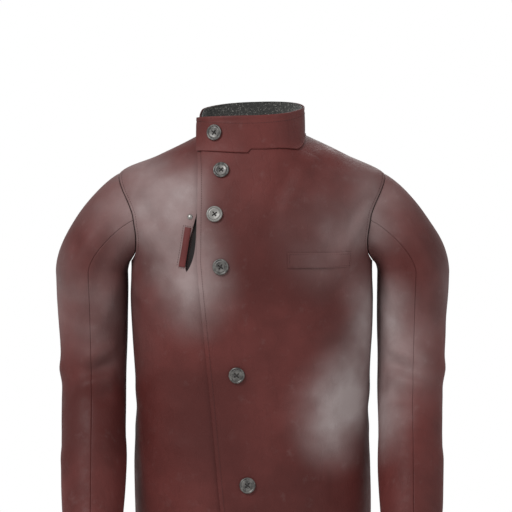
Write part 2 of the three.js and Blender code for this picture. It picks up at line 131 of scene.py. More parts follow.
class Shader:
    """One material and its nodes. The settings are the same all over its surface."""

    def __init__(self, name, settings=None):
        self.material = bpy.data.materials.new(name)
        self.material.use_nodes = True
        self.tree = self.material.node_tree
        self.surface = self.tree.nodes["Principled BSDF"]
        for key, value in (settings or {}).items():
            self.surface.inputs[key].default_value = value
        self.coords = self.node("ShaderNodeTexCoord", output="Object")

    def node(self, kind, settings=None, inputs=None, output=0):
        made = self.tree.nodes.new(kind)
        for key, value in (settings or {}).items():
            setattr(made, key, value)
        for key, value in (inputs or {}).items():
            self.feed(made.inputs[key], value)
        return Value(self, made.outputs[output])

    def feed(self, socket, value):
        if isinstance(value, Value):
            self.tree.links.new(value.socket, socket)
        else:
            socket.default_value = value

    def noise(self, scale, detail=2.0, rough=0.5, stretch=None):
        vector = self.coords
        if stretch:
            vector = self.node("ShaderNodeMapping", inputs={"Vector": self.coords, "Scale": stretch})
        inputs = {"Vector": vector, "Scale": scale, "Detail": detail, "Roughness": rough}
        return self.node("ShaderNodeTexNoise", inputs=inputs)

    def cells(self, scale, output="Distance"):
        return self.node("ShaderNodeTexVoronoi", {}, {"Vector": self.coords, "Scale": scale}, output)

    def waves(self, scale, direction, distortion, output=0):
        inputs = {"Vector": self.coords, "Scale": scale, "Distortion": distortion}
        return self.node("ShaderNodeTexWave", {"bands_direction": direction}, inputs, output)

    def ramp(self, value, low, high, to_low=0.0, to_high=1.0):
        settings = {"interpolation_type": "SMOOTHSTEP"}
        inputs = {"Value": value, "From Min": low, "From Max": high, "To Min": to_low, "To Max": to_high}
        return self.node("ShaderNodeMapRange", settings, inputs)

    def near(self, place, reach):
        """1 at a place, falling to 0 at reach metres from it."""
        settings = {"operation": "DISTANCE"}
        away = self.node("ShaderNodeVectorMath", settings, {0: self.coords, 1: place}, output="Value")
        return self.ramp(away, 0.0, reach, 1.0, 0.0)

    def mix(self, factor, a, b):
        return self.node("ShaderNodeMix", {"data_type": "RGBA"}, {0: factor, 6: a, 7: b}, output=2)

    def bump(self, height, distance, under=None):
        inputs = {"Height": height, "Distance": distance, "Strength": 1.0}
        if under:
            inputs["Normal"] = under
        return self.node("ShaderNodeBump", inputs=inputs)

    def finish(self, colour, roughness, normal=None):
        self.feed(self.surface.inputs["Base Color"], colour)
        self.feed(self.surface.inputs["Roughness"], roughness)
        if normal:
            self.feed(self.surface.inputs["Normal"], normal)
        return self.material


def floor():
    bm = bmesh.new()
    bmesh.ops.create_grid(bm, x_segments=1, y_segments=1, size=FLOOR_SIZE / 2)
    bmesh.ops.translate(bm, verts=bm.verts, vec=(0, 0, FLOOR_HEIGHT))
    mesh = bpy.data.meshes.new("studio_floor")
    bm.to_mesh(mesh)
    bm.free()
    shader = Shader("floor_paper")
    mesh.materials.append(shader.finish((0.86, 0.86, 0.85, 1), 0.8))
    plane = bpy.data.objects.new("studio_floor", mesh)
    bpy.context.scene.collection.objects.link(plane)


floor()

# Body form: the shape of the worn jacket, as rings from the neck seam to the hem. A point's angle
# is 0 in front and 90 at the wearer's left side, and v counts the rings.
MM = 0.001
ROUNDNESS = 0.85
HEIGHT_SWEEP = 1.5
RINGS = np.array([
    # half width, front, back, then the height of the side, front and back
    [84, 82, 70, 3, -22, 3],
    [149, 93, 86, -29, -56, -28],
    [214, 108, 104, -62, -96, -75],
    [208, 120, 116, -125, -142, -130],
    [193, 126, 122, -192, -196, -192],
    [193.5, 126, 120, -259.2, -259.2, -259.2],
    [191.5, 121, 113, -342, -342, -342],
    [187, 117, 105, -432, -432, -432],
    [189, 120, 111, -525.6, -525.6, -525.6],
    [189.5, 123, 118, -622.8, -622.8, -622.8],
    [192, 126, 122, -720, -720, -720],
]) * MM
HEM_V = len(RINGS) - 1.0
ROW_STEP = 0.02
LEATHER = 2.4 * MM
OVERLAP_LIFT = 8.8 * MM


def smooth(value, low, high):
    t = np.clip((value - low) / (high - low), 0, 1)
    return t * t * (3 - 2 * t)


def length_of(vectors):
    return np.linalg.norm(vectors, axis=1)


def curve(t, start, leaving, end, arriving):
    """A smooth curve from start to end, with its directions there."""
    return (
        (2 * t**3 - 3 * t**2 + 1) * start + (t**3 - 2 * t**2 + t) * leaving
        + (3 * t**2 - 2 * t**3) * end + (t**3 - t**2) * arriving
    )


def ring_at(v):
    """The rings' values at v, on a smooth curve through them."""
    i = np.clip(np.floor(v).astype(int), 0, len(RINGS) - 2)
    t = (v - i)[:, None]
    p0, p1, p2, p3 = (RINGS[np.clip(i + k, 0, len(RINGS) - 1)] for k in (-1, 0, 1, 2))
    return curve(t, p1, (p2 - p0) / 2, p2, (p3 - p1) / 2)


def form(angle, v):
    """The places at angles and values of v."""
    half, front, back, side_z, front_z, back_z = ring_at(v).T
    s, c = np.sin(np.radians(angle)), np.cos(np.radians(angle))
    depth = np.where(c > 0, front, back)
    middle = np.where(c > 0, front_z, back_z)
    x = half * np.sign(s) * np.abs(s) ** ROUNDNESS
    y = -depth * np.sign(c) * np.abs(c) ** ROUNDNESS
    return np.stack([x, y, side_z + (middle - side_z) * np.abs(c) ** HEIGHT_SWEEP], axis=1)


def unit(vectors):
    return vectors / length_of(vectors)[:, None]


def form_normal(angle, v):
    around = form(angle + 1, v) - form(angle - 1, v)
    down = form(angle, np.minimum(v + ROW_STEP, HEM_V)) - form(angle, np.maximum(v - ROW_STEP, 0))
    return unit(np.cross(down, around))


def angle_at_x(x, v):
    share = x / ring_at(v)[:, 0]
    return np.degrees(np.arcsin(np.clip(np.sign(share) * np.abs(share) ** (1 / ROUNDNESS), -1, 1)))


def spot_at(x, z):
    """The angle and v of the places on the front at x and z."""
    low, high = np.zeros(len(x)), np.full(len(x), HEM_V)
    for _ in range(40):
        v = (low + high) / 2
        above = form(angle_at_x(x, v), v)[:, 2] > z
        low, high = np.where(above, v, low), np.where(above, high, v)
    return angle_at_x(x, low), low


def one_spot(x, z):
    return [float(values[0]) for values in spot_at(np.array([x]), np.array([z]))]


def middle_of(node):
    low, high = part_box(node)
    return (np.array(low) + np.array(high)) / 2


# Folds that the leather has taken with wear. Each runs from one point to another, with its width
# and height in millimetres, and the paired ones have a mirror image on the other side. Ripples lie
# all over it, each with a scale and a height in millimetres.
MIDDLE_FOLDS = [
    ((96, -60, -30), (44, -110, -120), 13, 6.5),
    ((66, -84, -40), (26, -114, -150), 15, -4.5),
    ((0, 112, -470), (0, 124, -716), 30, -3.5),
]
PAIRED_FOLDS = [
    ((186, -64, -120), (120, -112, -205), 15, 3.6),
    ((186, -40, -175), (110, -118, -262), 17, -3.4),
    ((190, -20, -205), (140, -100, -300), 15, 3.0),
    ((178, -74, -92), (150, -100, -150), 12, -2.6),
    ((186, -10, -404), (112, -100, -424), 12, 3.0),
    ((186, 0, -432), (120, -92, -452), 12, -2.8),
    ((186, 20, -462), (96, -110, -486), 14, 4.1),
    ((60, -124, -420), (84, -126, -716), 26, 2.6),
    ((130, -96, -480), (140, -96, -716), 24, -2.8),
    ((168, -60, -520), (176, -60, -716), 20, 2.8),
    ((110, 92, -120), (52, 116, -260), 18, 4.6),
    ((176, 66, -130), (120, 104, -240), 16, -4.6),
    ((188, 20, -205), (130, 92, -320), 16, 4.3),
    ((186, 10, -396), (110, 84, -418), 13, 4.6),
    ((110, 84, -400), (20, 108, -430), 13, 3.8),
    ((184, 30, -440), (90, 94, -462), 14, -4.3),
    ((90, 108, -480), (104, 112, -716), 26, 4.1),
]
RIPPLES = ((7.0, 2.4), (19.0, 0.9))
FASTENERS = [f"front_stud_{i}" for i in range(1, 6)]
CALM_RADIUS = 24 * MM
CALM_NECK_V = 0.8


def on_side(side, folds):
    """Folds as they are on the left side, or mirrored where side is -1."""
    flip = np.array([side, 1, 1])
    return [(np.array(start) * flip, np.array(end) * flip, *sizes) for start, end, *sizes in folds]


BODY_FOLDS = on_side(1, MIDDLE_FOLDS + PAIRED_FOLDS) + on_side(-1, PAIRED_FOLDS)


def fold_height(points, folds):
    total = np.zeros(len(points))
    for start, end, width, height in folds:
        along = (end - start) * MM
        t = np.clip((points - start * MM) @ along / (along @ along), 0, 1)
        away = length_of(points - start * MM - t[:, None] * along)
        taper = np.sqrt(np.sin(np.pi * np.clip(t, 0.02, 0.98)))
        total += height * MM * taper * np.exp(-((away / (width * MM)) ** 2))
    for scale, height in RIPPLES:
        total += height * MM * np.array([noise.noise(Vector(p) * scale) for p in points])
    return total


def body_folds(points, v):
    """How far the body's leather stands off its form, which is nothing at the neck and fasteners."""
    calm = smooth(v, 0.0, CALM_NECK_V)
    for name in FASTENERS:
        calm = calm * (1 - np.exp(-((length_of(points - middle_of(name)) / CALM_RADIUS) ** 2)))
    return calm * fold_height(points, BODY_FOLDS)


def body_point(angle, v, rise):
    """A place on the worn leather, or rise metres outside it."""
    base = form(angle, v)
    return base + form_normal(angle, v) * (rise + body_folds(base, v))[:, None]


# Sheets: every piece of leather and cloth is a flat grid moved onto its place, close together at
# its edges, which are rolled, and then given its thickness inward.
EDGE_STEPS = np.array([0, 0.4, 1.0, 1.8, 3.0, 4.4, 5.8, 7.0, 8.2, 10.0, 12.5]) * MM
EDGE_SHARE = 0.35
EDGE_ROLL = 1.5 * MM
EDGE_TURN = 0.8
CREASE_ANGLE = math.radians(50)


def steps(length, usual):
    """Shares of a length from 0 to 1, close together at both ends."""
    edge = EDGE_STEPS * min(1, EDGE_SHARE * length / EDGE_STEPS[-1])
    count = max(2, int((length - 2 * edge[-1]) / usual))
    middle = np.linspace(edge[-1], length - edge[-1], count + 1)[1:-1]
    return np.concatenate([edge, middle, (length - edge)[::-1]]) / length


def rolled(distance):
    """How far a rolled edge has turned in at a distance from it."""
    t = np.clip(1 - distance / EDGE_ROLL, 0, 1)
    return EDGE_ROLL * EDGE_TURN * (1 - np.sqrt(1 - t * t))


def settle(piece):
    """Applies a piece's modifiers and sharpens its hard edges."""
    bpy.context.view_layer.update()
    shown = piece.evaluated_get(bpy.context.evaluated_depsgraph_get())
    piece.data = bpy.data.meshes.new_from_object(shown)
    piece.modifiers.clear()
    piece.data.name = piece.name
    piece.data.set_sharp_from_angle(angle=CREASE_ANGLE)


def finished(name, bm, material):
    """Makes a smooth object of a mesh, with its material."""
    for face in bm.faces:
        face.smooth = True
    mesh = bpy.data.meshes.new(name)
    bm.to_mesh(mesh)
    bm.free()
    mesh.materials.append(material)
    mesh.set_sharp_from_angle(angle=CREASE_ANGLE)
    piece = bpy.data.objects.new(name, mesh)
    bpy.context.scene.collection.objects.link(piece)
    return piece


def bent_sheet(name, across, down, place, stuff):
    """A sheet whose outer face is place(u, row, rise), with u from across and row from down.
    Its stuff is a thickness, a material and a slot, and the slot is not used."""
    thickness, material, slot = stuff
    columns, rows = len(across) - 1, len(down) - 1
    bm = bmesh.new()
    bmesh.ops.create_grid(bm, x_segments=columns, y_segments=rows, size=0.5)
    flat = np.array([v.co for v in bm.verts])
    u = across[np.rint((flat[:, 0] + 0.5) * columns).astype(int)]
    row = down[np.rint((flat[:, 1] + 0.5) * rows).astype(int)]
    outer = place(u, row, np.zeros(len(u)))
    inner = place(u, row, np.full(len(u), -thickness))
    for vert, point in zip(bm.verts, outer):
        vert.co = point
    bm.normal_update()
    facing = sum(v.normal.dot(Vector(o - i)) for v, o, i in zip(bm.verts, outer, inner))
    if facing < 0:
        bmesh.ops.reverse_faces(bm, faces=bm.faces)
    piece = finished(name, bm, material)
    wall = piece.modifiers.new("wall", "SOLIDIFY")
    wall.thickness = thickness
    wall.offset = -1
    settle(piece)
    return piece


def follow(piece, motion):
    """A piece rides on a body when motion is a name; when motion is a blend's values, its transform is
    baked into its mesh and it does not bend.
    """
    if isinstance(motion, str):
        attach(piece, motion)
    else:
        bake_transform(piece)


def declare(piece, motion, nodes, flat):
    """Makes a sheet move with its motion and hides the parts that it stands for; flat is the rectangle
    that it was cut from.
    """
    area = min(sum(p.area for p in piece.data.polygons) / 2, flat[0] * flat[1])
    follow(piece, motion)
    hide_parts(*nodes)


# Leather: smooth hide dyed burgundy. It has a mottled dye, a fine pebbled grain, pull creases with painted
# shade along them, and small pale scuffs, with pale patches of painted glare, the studio light's broad
# highlight, on the chest, shoulders and hem.
BURGUNDY_DEEP = (0.072, 0.014, 0.012, 1)
BURGUNDY = (0.122, 0.027, 0.024, 1)
# The pale colour of small scuffs and of the painted glare.
PALE_SCUFF_AND_GLARE = (0.44, 0.38, 0.375, 1)
GLARE_PATCHES = [
    # place, reach and strength of each patch of painted glare
    ((-0.180, -0.05, -0.075), 0.095, 0.48),
    ((-0.125, -0.10, -0.095), 0.105, 0.55),
    ((-0.102, -0.10, -0.09), 0.06, 0.75),
    ((-0.16, -0.08, -0.16), 0.12, 0.42),
    ((-0.10, -0.12, -0.24), 0.10, 0.8),
    ((-0.07, -0.12, -0.17), 0.06, 0.32),
    ((0.150, -0.10, -0.43), 0.12, 1.25),
    ((0.19, -0.04, -0.36), 0.14, 0.5),
    ((0.13, -0.10, -0.15), 0.13, 0.35),
    ((0.20, -0.05, -0.12), 0.10, 0.55),
    ((0.19, -0.06, -0.26), 0.08, 0.5),
    ((-0.20, 0.02, -0.10), 0.13, 0.6),
    ((0.11, 0.11, -0.16), 0.14, 0.5),
    ((-0.09, 0.12, -0.36), 0.15, 0.5),
    ((0.05, 0.12, -0.62), 0.16, 0.55),
    ((0.31, 0.02, -0.22), 0.13, 0.45),
    ((-0.31, 0.0, -0.26), 0.13, 0.4),
    ((0.22, -0.05, -0.32), 0.11, 0.5),
    ((-0.22, -0.05, -0.30), 0.11, 0.4),
    ((0.25, 0.05, -0.40), 0.11, 0.4),
    ((-0.25, 0.05, -0.40), 0.11, 0.4),
]
# How strongly the painted glare turns the leather pale.
GLARE_STRENGTH = 0.78
DARK_PATCH = (-0.075, -0.12, -0.44)
DARK_PATCH_REACH = 0.13
LEATHER_SHEEN = {"Specular IOR Level": 0.24, "Sheen Weight": 0.02, "Sheen Roughness": 0.45}


def leather_shader(name, deep, mid, pale, glare_patches, glare_strength):
    shader = Shader(name, LEATHER_SHEEN)
    mottle = shader.ramp(shader.noise(5.0, 4.0, 0.6), 0.34, 0.66)
    scuff = shader.noise(46.0, 5.0, 0.65)
    creases = shader.noise(26.0, 4.0, 0.55, stretch=(1.0, 1.0, 0.42))
    crease_lines = shader.ramp((creases - 0.5).math("ABSOLUTE"), 0.0, 0.03, 1.0, 0.0)
    grain = shader.cells(820.0)
    pores = shader.noise(1500.0, 2.0)
    worn = 0.0
    # Painted glare: worn is the mask of the pale patches of painted highlight, broken up by cloud and
    # scuff noise.
    for place, reach, weight in glare_patches:
        worn = shader.near(place, reach) * weight + worn
    cloud = shader.ramp(shader.noise(7.0, 3.0, 0.5), 0.3, 0.7)
    worn = (worn * (cloud * 0.75 + 0.25) * (scuff * 0.6 + 0.7)).math("MINIMUM", 1.0)
    colour = shader.mix(mottle, deep, mid)
    # Painted shade: the colour is darkened along the crease lines.
    colour = shader.mix(crease_lines * 0.16, colour, deep)
    colour = shader.mix(shader.ramp(scuff, 0.55, 0.8) * 0.06, colour, pale)
    colour = shader.mix(shader.near(DARK_PATCH, DARK_PATCH_REACH) * 0.75, colour, deep)
    # Painted glare: the leather is turned pale under that mask.
    colour = shader.mix(worn * glare_strength, colour, pale)
    roughness = shader.ramp(scuff, 0.3, 0.7, 0.5, 0.66) + worn * 0.14
    coarse = shader.bump(crease_lines * -0.35 + scuff, 0.00028)
    normal = shader.bump(grain * 0.8 + pores * 0.5, 0.00016, coarse)
    return shader.finish(colour, roughness, normal)


body_leather = leather_shader("burgundy_leather", BURGUNDY_DEEP, BURGUNDY, PALE_SCUFF_AND_GLARE, GLARE_PATCHES, GLARE_STRENGTH)
HIDE = (LEATHER, body_leather, "leather")

# Body panels: a back and two fronts of leather, seamed at the sides. Their side edges follow the
# armhole, which is an oval about each side.
ARMHOLE_TOP_V = 1.93
ARMHOLE_BOTTOM_V = 4.1
ARMHOLE_V = (ARMHOLE_TOP_V + ARMHOLE_BOTTOM_V) / 2
ARMHOLE_HALF_V = (ARMHOLE_BOTTOM_V - ARMHOLE_TOP_V) / 2
ARMHOLE_HALF_ANGLE = 30
ARMHOLE_EDGE_LENGTH = 0.2
ARMHOLE_ROW_GAP = 0.015
FRONT_DEPTH, BACK_DEPTH = 1, 2
SEAM_GAP = 0.3 * MM
LEATHER_GRID = 4.2 * MM


def side_angle(v, depth_column):
    """The angle, from the middle of the front or the back, at which a panel ends."""
    t = (v - ARMHOLE_V) / ARMHOLE_HALF_V
    hollow = ARMHOLE_HALF_ANGLE * np.sqrt(1 - np.clip(t, -1, 1) ** 2)
    depth = ring_at(v)[:, depth_column]
    seam = np.degrees(np.arccos((SEAM_GAP / 2 / depth) ** (1 / ROUNDNESS)))
    return np.minimum(90 - hollow, seam)


def left_side(v):
    return side_angle(v, FRONT_DEPTH)


def right_side(v):
    return -left_side(v)


def back_left(v):
    return 180 - side_angle(v, BACK_DEPTH)


def back_right(v):
    return 180 + side_angle(v, BACK_DEPTH)


def body_rows(usual):
    """Values of v from the neck to the hem, even along the leather and closer at the armholes."""
    fine = np.linspace(0, HEM_V, 1200)
    line = form(np.full(len(fine), 45.0), fine)
    distance = np.concatenate([[0], np.cumsum(length_of(np.diff(line, axis=0)))])
    rows = np.interp(steps(distance[-1], usual) * distance[-1], distance, fine)
    turns = np.radians(np.linspace(0, 180, int(ARMHOLE_EDGE_LENGTH / usual)))
    outside = rows[np.abs(rows - ARMHOLE_V) > ARMHOLE_HALF_V + ARMHOLE_ROW_GAP]
    return np.sort(np.concatenate([outside, ARMHOLE_V - ARMHOLE_HALF_V * np.cos(turns)]))


def panel(name, width, low_edge, high_edge, rise, stuff, grid=LEATHER_GRID):
    """A body panel between two edges, about width metres wide. rise(angle, v, edges) is its outer
    face's offset, where edges are a point's distances from the two side edges, the neck and the
    hem."""

    def place(u, v, more):
        low, high = low_edge(v), high_edge(v)
        angle = low + u * (high - low)
        here = form(angle, v)
        ends = (form(low, v), form(high, v), form(angle, 0 * v), form(angle, 0 * v + HEM_V))
        edges = [length_of(here - end) for end in ends]
        return body_point(angle, v, rise(angle, v, edges) - rolled(np.min(edges, axis=0)) + more)

    return bent_sheet(name, steps(width, grid), body_rows(grid), place, stuff)


def flush(angle, v, edges):
    return 0.0


back = panel("back_leather", 0.47, back_left, back_right, flush, HIDE)
declare(back, "jacket_body", ["back_panel"], (0.53, 0.76))

# The right front laps under. It has a real slit for the hand pocket, leaning towards the overlap
# and widest below its middle.
UNDERLAP_X = 26 * MM
SLIT_MIDDLE = (-94 * MM, -164 * MM)
SLIT_LENGTH = 93 * MM
SLIT_WIDTH = 11 * MM
SLIT_BOW = 1.5 * MM
SLIT_LEAN = 9
SLIT_FULLNESS = 0.75
CUTTER_DEPTH = 40 * MM


def underlap(v):
    return angle_at_x(UNDERLAP_X, v)


def basis_at(angle, v, rise, lean=0.0):
    """A matrix at a place on the body: +Z outward, +Y up, turned by lean degrees."""
    spot = np.array([angle, v]).reshape(2, 1)
    point = Vector(body_point(spot[0], spot[1], np.array([rise]))[0])
    out = Vector(form_normal(spot[0], spot[1])[0])
    up = (Vector((0, 0, 1)) - out * out.z).normalized()
    turn = Matrix((up.cross(out), up, out)).transposed().to_4x4()
    return Matrix.Translation(point) @ turn @ Matrix.Rotation(math.radians(-lean), 4, "Z")


def slit_cutter():
    """A solid in the slit's shape, which is fuller towards its foot."""
    bm = bmesh.new()
    bmesh.ops.create_circle(bm, cap_ends=True, segments=40, radius=1)
    for vert in bm.verts:
        along, across = vert.co.y, vert.co.x
        swell = (1 - SLIT_FULLNESS * along) * (1 - along * along) ** 0.3
        bow = SLIT_BOW * (1 - along * along)
        vert.co = (across * swell * SLIT_WIDTH / 2 + bow, along * SLIT_LENGTH / 2, -CUTTER_DEPTH / 2)
    grown = bmesh.ops.extrude_face_region(bm, geom=bm.faces[:])
    moved = [v for v in grown["geom"] if isinstance(v, bmesh.types.BMVert)]
    bmesh.ops.translate(bm, verts=moved, vec=(0, 0, CUTTER_DEPTH))
    bmesh.ops.recalc_face_normals(bm, faces=bm.faces)
    bm.transform(basis_at(*one_spot(*SLIT_MIDDLE), 0.0, SLIT_LEAN))
    return finished("slit_cutter", bm, body_leather)


def carve(piece, cutter):
    """Takes a cutter's shape out of a piece, and then the cutter out of the scene."""
    hole = piece.modifiers.new("hole", "BOOLEAN")
    hole.object = cutter
    hole.solver = "EXACT"
    settle(piece)
    bpy.data.objects.remove(cutter)


right_front = panel("right_front_leather", 0.25, right_side, underlap, flush, HIDE)
carve(right_front, slit_cutter())
declare(right_front, "jacket_body", ["right_front"], (0.30, 0.76))

# The left front and the overlap are one hide, which bends along the fold when the front opens.
# The overlap lies over the right front, clear of the studs, and dips to it at its edge.
OVERLAP_EDGE_X = (-84.5 * MM, -36 * MM)
OVERLAP_SLANT_START_Z = -195 * MM
EDGE_REACH = 0.95
FOLD_X = (-6 * MM, 36 * MM)
BODY_LENGTH = 720 * MM
LAP_END_X = 30 * MM
LAP_END_ANGLE = 55.0
EDGE_DIP = 3.0 * MM
EDGE_DIP_WIDTH = 14 * MM
STITCH_INSET = 7 * MM
GROOVE_DEPTH = 0.6 * MM
GROOVE_WIDTH = 1.3 * MM
FOLD_POINT = np.array([-0.0045, -0.1355, -0.02])
ACROSS_FOLD = np.array([0.9983, 0, 0.0585])
FOLD_REACH = 14 * MM
OPENING = (
    "jacket_body", "front_flap",
    tuple(FOLD_POINT + ACROSS_FOLD * FOLD_REACH), tuple(FOLD_POINT - ACROSS_FOLD * FOLD_REACH),
)


def between(pair, share):
    return pair[0] + (pair[1] - pair[0]) * share


def overlap_edge(v):
    ring = ring_at(v)
    slant = (ring[:, 4] - OVERLAP_SLANT_START_Z) / (-BODY_LENGTH - OVERLAP_SLANT_START_Z)
    x = np.maximum(between(OVERLAP_EDGE_X, np.clip(slant, 0, 1)), -EDGE_REACH * ring[:, 0])
    return angle_at_x(x, v)


def fold_line(v):
    return angle_at_x(between(FOLD_X, -ring_at(v)[:, 4] / BODY_LENGTH), v)


def lift(angle, v):
    """How far the left front stands off the body where it laps over the right front."""
    return OVERLAP_LIFT * (1 - smooth(angle, angle_at_x(LAP_END_X, v), LAP_END_ANGLE))


def edge_dip(distance):
    return EDGE_DIP * (1 - smooth(distance, 0.0, EDGE_DIP_WIDTH))


def stitch_groove(distance):
    return GROOVE_DEPTH * np.exp(-(((distance - STITCH_INSET) / GROOVE_WIDTH) ** 2))


def left_rise(angle, v, edges):
    return lift(angle, v) - edge_dip(edges[0]) - stitch_groove(edges[0])


left_front = panel("left_front_leather", 0.38, overlap_edge, left_side, left_rise, HIDE)
declare(left_front, OPENING, ["left_front", "front_overlap"], (0.42, 0.77))

# Linings of the body and the overlap's facing: a speckled dark grey tweed, hung clear of the
# leather and the pockets, and drawn out to the leather at the hem.
LINING = 1.4 * MM
FACING = 1.0 * MM
FACING_DROP = LEATHER + 1.2 * MM
LAYER_GAP = 0.6 * MM
LINING_EDGE_GAPS = 10
POCKET_ROOM = 4 * MM
CLOTH_GRID = 8 * MM
TWEED_DARK = (0.022, 0.022, 0.020, 1)
TWEED = (0.050, 0.050, 0.046, 1)
TWEED_FLECK = (0.32, 0.31, 0.28, 1)
TWEED_SHEEN = {"Sheen Weight": 0.25, "Sheen Roughness": 0.6}
YARN_SCALE = 880.0


def tweed_shader(name, dark, mid, fleck):
    shader = Shader(name, TWEED_SHEEN)
    yarn = shader.cells(YARN_SCALE, output="Color")
    shade = shader.node("ShaderNodeSeparateColor", inputs={"Color": yarn})
    height = shader.cells(YARN_SCALE)
    fuzz = shader.noise(1400.0, 2.0)
    colour = shader.mix(shader.ramp(shade, 0.15, 0.75), dark, mid)
    colour = shader.mix(shader.ramp(shade, 0.86, 0.97) * 0.8, colour, fleck)
    colour = shader.mix(shader.ramp(shader.noise(9.0), 0.4, 0.7) * 0.3, colour, dark)
    normal = shader.bump(height * -1.0 + fuzz * 0.6, 0.0005)
    return shader.finish(colour, shader.ramp(fuzz, 0.3, 0.7, 0.86, 0.98), normal)


tweed = tweed_shader("speckled_tweed", TWEED_DARK, TWEED, TWEED_FLECK)
LINING_CLOTH = (LINING, tweed, "lining")
FACING_CLOTH = (FACING, tweed, "lining")


def lining_drop(v):
    return LEATHER + LAYER_GAP + POCKET_ROOM * (1 - smooth(v, HEM_V - 1, HEM_V))


def lining_rise(angle, v, edges):
    return -lining_drop(v)


def left_lining_rise(angle, v, edges):
    return lift(angle, v) - lining_drop(v)


def beside_underlap(v):
    gap = np.degrees(SEAM_GAP / ring_at(v)[:, 0])
    return np.maximum(underlap(v) + LINING_EDGE_GAPS * gap, fold_line(v) + gap)


def facing_rise(angle, v, edges):
    return lift(angle, v) - FACING_DROP - edge_dip(edges[0])


for name, part, width, low_edge, high_edge, rise, flat in (
    ("back", "back", 0.47, back_left, back_right, lining_rise, (0.52, 0.76)),
    ("right", "right_front", 0.25, right_side, underlap, lining_rise, (0.30, 0.76)),
    ("left", "left_front", 0.22, beside_underlap, left_side, left_lining_rise, (0.26, 0.76)),
):
    cloth = panel(f"{name}_lining_cloth", width, low_edge, high_edge, rise, LINING_CLOTH, CLOTH_GRID)
    declare(cloth, "jacket_body", [f"{part}_lining"], flat)

facing = panel(
    "overlap_facing_cloth", 0.10, overlap_edge, fold_line, facing_rise, FACING_CLOTH, CLOTH_GRID / 2
)
declare(facing, OPENING, ["overlap_facing"], (0.13, 0.76))

# Collar: a stand of one band of leather, lined with the tweed. It runs from the underlap round the
# neck and back over itself as the tab. The outer layer comes down a little over the fronts, and
# bends where the tab opens.
RIM_MEAN = 44.5 * MM
RIM_RISE_BACK = 12.5 * MM
RIM_RISE_LEFT = 3.75 * MM
RIM_FRONT = RIM_MEAN - RIM_RISE_BACK
TAB_RIM_FALL = 2.3 * MM
TAB_REACH_ANGLE = 70
TAB_BEND_ANGLE = 6
UNDER_RIM_DROP = 1.8 * MM
TAB_FOOT_Z = -29 * MM
FRONT_FOOT_Z = -23 * MM
FOOT_CLEARANCE = LEATHER + 0.7 * MM
TAB_FLARE = 7 * MM
COLLAR_SEAM_ANGLE = 88.0
COLLAR_GRID = 3.4 * MM
BAND_STEP = 0.03
COLLAR_HEIGHT = 55 * MM
COLLAR_WAVE = 1.3 * MM
COLLAR_KNEE = 1.2 * MM
WAVE_SCALE = 16
FOOT_BEND = 6 * MM
NECK_RADIUS = 84 * MM
# The angles over which the under layer's rim rises to the back's, and the outer foot to the seam.
UNDER_RISE_ANGLES = (72, 112)
FOOT_RISE_ANGLE = 50
TAB_OPENING = ("jacket_body", "collar_flap", (0.009, -0.0908, 0), (-0.018, -0.0908, 0))
ZERO = np.zeros(1)
COLLAR_START = float(underlap(ZERO)[0])
TAB_END = float(overlap_edge(ZERO)[0])
TAB_FOLD = float(fold_line(ZERO)[0])


def neck_out(angle):
    """The level direction that points squarely out of the neck seam."""
    along = form(angle + 1, 0 * angle) - form(angle - 1, 0 * angle)
    return unit(np.stack([along[:, 1], -along[:, 0], 0 * angle], axis=1))


def rim_height(angle, outer):
    """The rim's height: low in front, where the tab falls a little, and high at the back. The under
    layer's rim stays below the outer layer's."""
    turn = np.radians(angle)
    whole = RIM_MEAN - RIM_RISE_BACK * np.cos(turn) + RIM_RISE_LEFT * np.sin(turn)
    tab = RIM_FRONT + TAB_RIM_FALL * angle / TAB_REACH_ANGLE
    if outer:
        return np.where(angle > 0, whole, tab)
    under = tab - UNDER_RIM_DROP
    return under + (whole - under) * smooth(-angle, *UNDER_RISE_ANGLES)


def collar_point(angle, t, rise, outer):
    """A place on the collar's band: t is 0 at its foot and 1 at its rim."""
    neck = 0 * angle
    stand = lift(angle, neck) if outer else neck
    out = neck_out(angle)
    seam = form(angle, neck) + out * stand[:, None]
    seam[:, 2] = (form(angle, neck) + form_normal(angle, neck) * stand[:, None])[:, 2] + SEAM_GAP
    tab_share = smooth(-angle, TAB_BEND_ANGLE - TAB_FOLD, -TAB_END) * outer
    wave = np.array([noise.noise(Vector(p) * WAVE_SCALE) for p in seam]) * COLLAR_WAVE
    rim = seam + out * wave[:, None]
    rim[:, 1] -= TAB_FLARE * tab_share
    rim[:, 2] = rim_height(angle, outer)
    foot = seam.copy()
    if outer and rise > -LEATHER:
        foot_z = np.where(angle < TAB_FOLD, TAB_FOOT_Z, FRONT_FOOT_Z)
        foot_z = foot_z + (seam[:, 2] - foot_z) * smooth(angle, FOOT_RISE_ANGLE, COLLAR_SEAM_ANGLE)
        on_angle, on_v = spot_at(seam[:, 0], np.minimum(foot_z, seam[:, 2]))
        laid = body_point(on_angle, on_v, lift(on_angle, on_v) + FOOT_CLEARANCE)
        laid[:, 0] += (seam[:, 0] - laid[:, 0]) * tab_share
        foot = seam + (laid - seam) * smooth(seam[:, 2] - foot_z, 0, FOOT_BEND)[:, None]
    knee = seam + out * COLLAR_KNEE
    knee[:, 1] -= TAB_FLARE * tab_share
    t = t[:, None]
    return (1 - t) ** 2 * foot + 2 * t * (1 - t) * knee + t**2 * rim


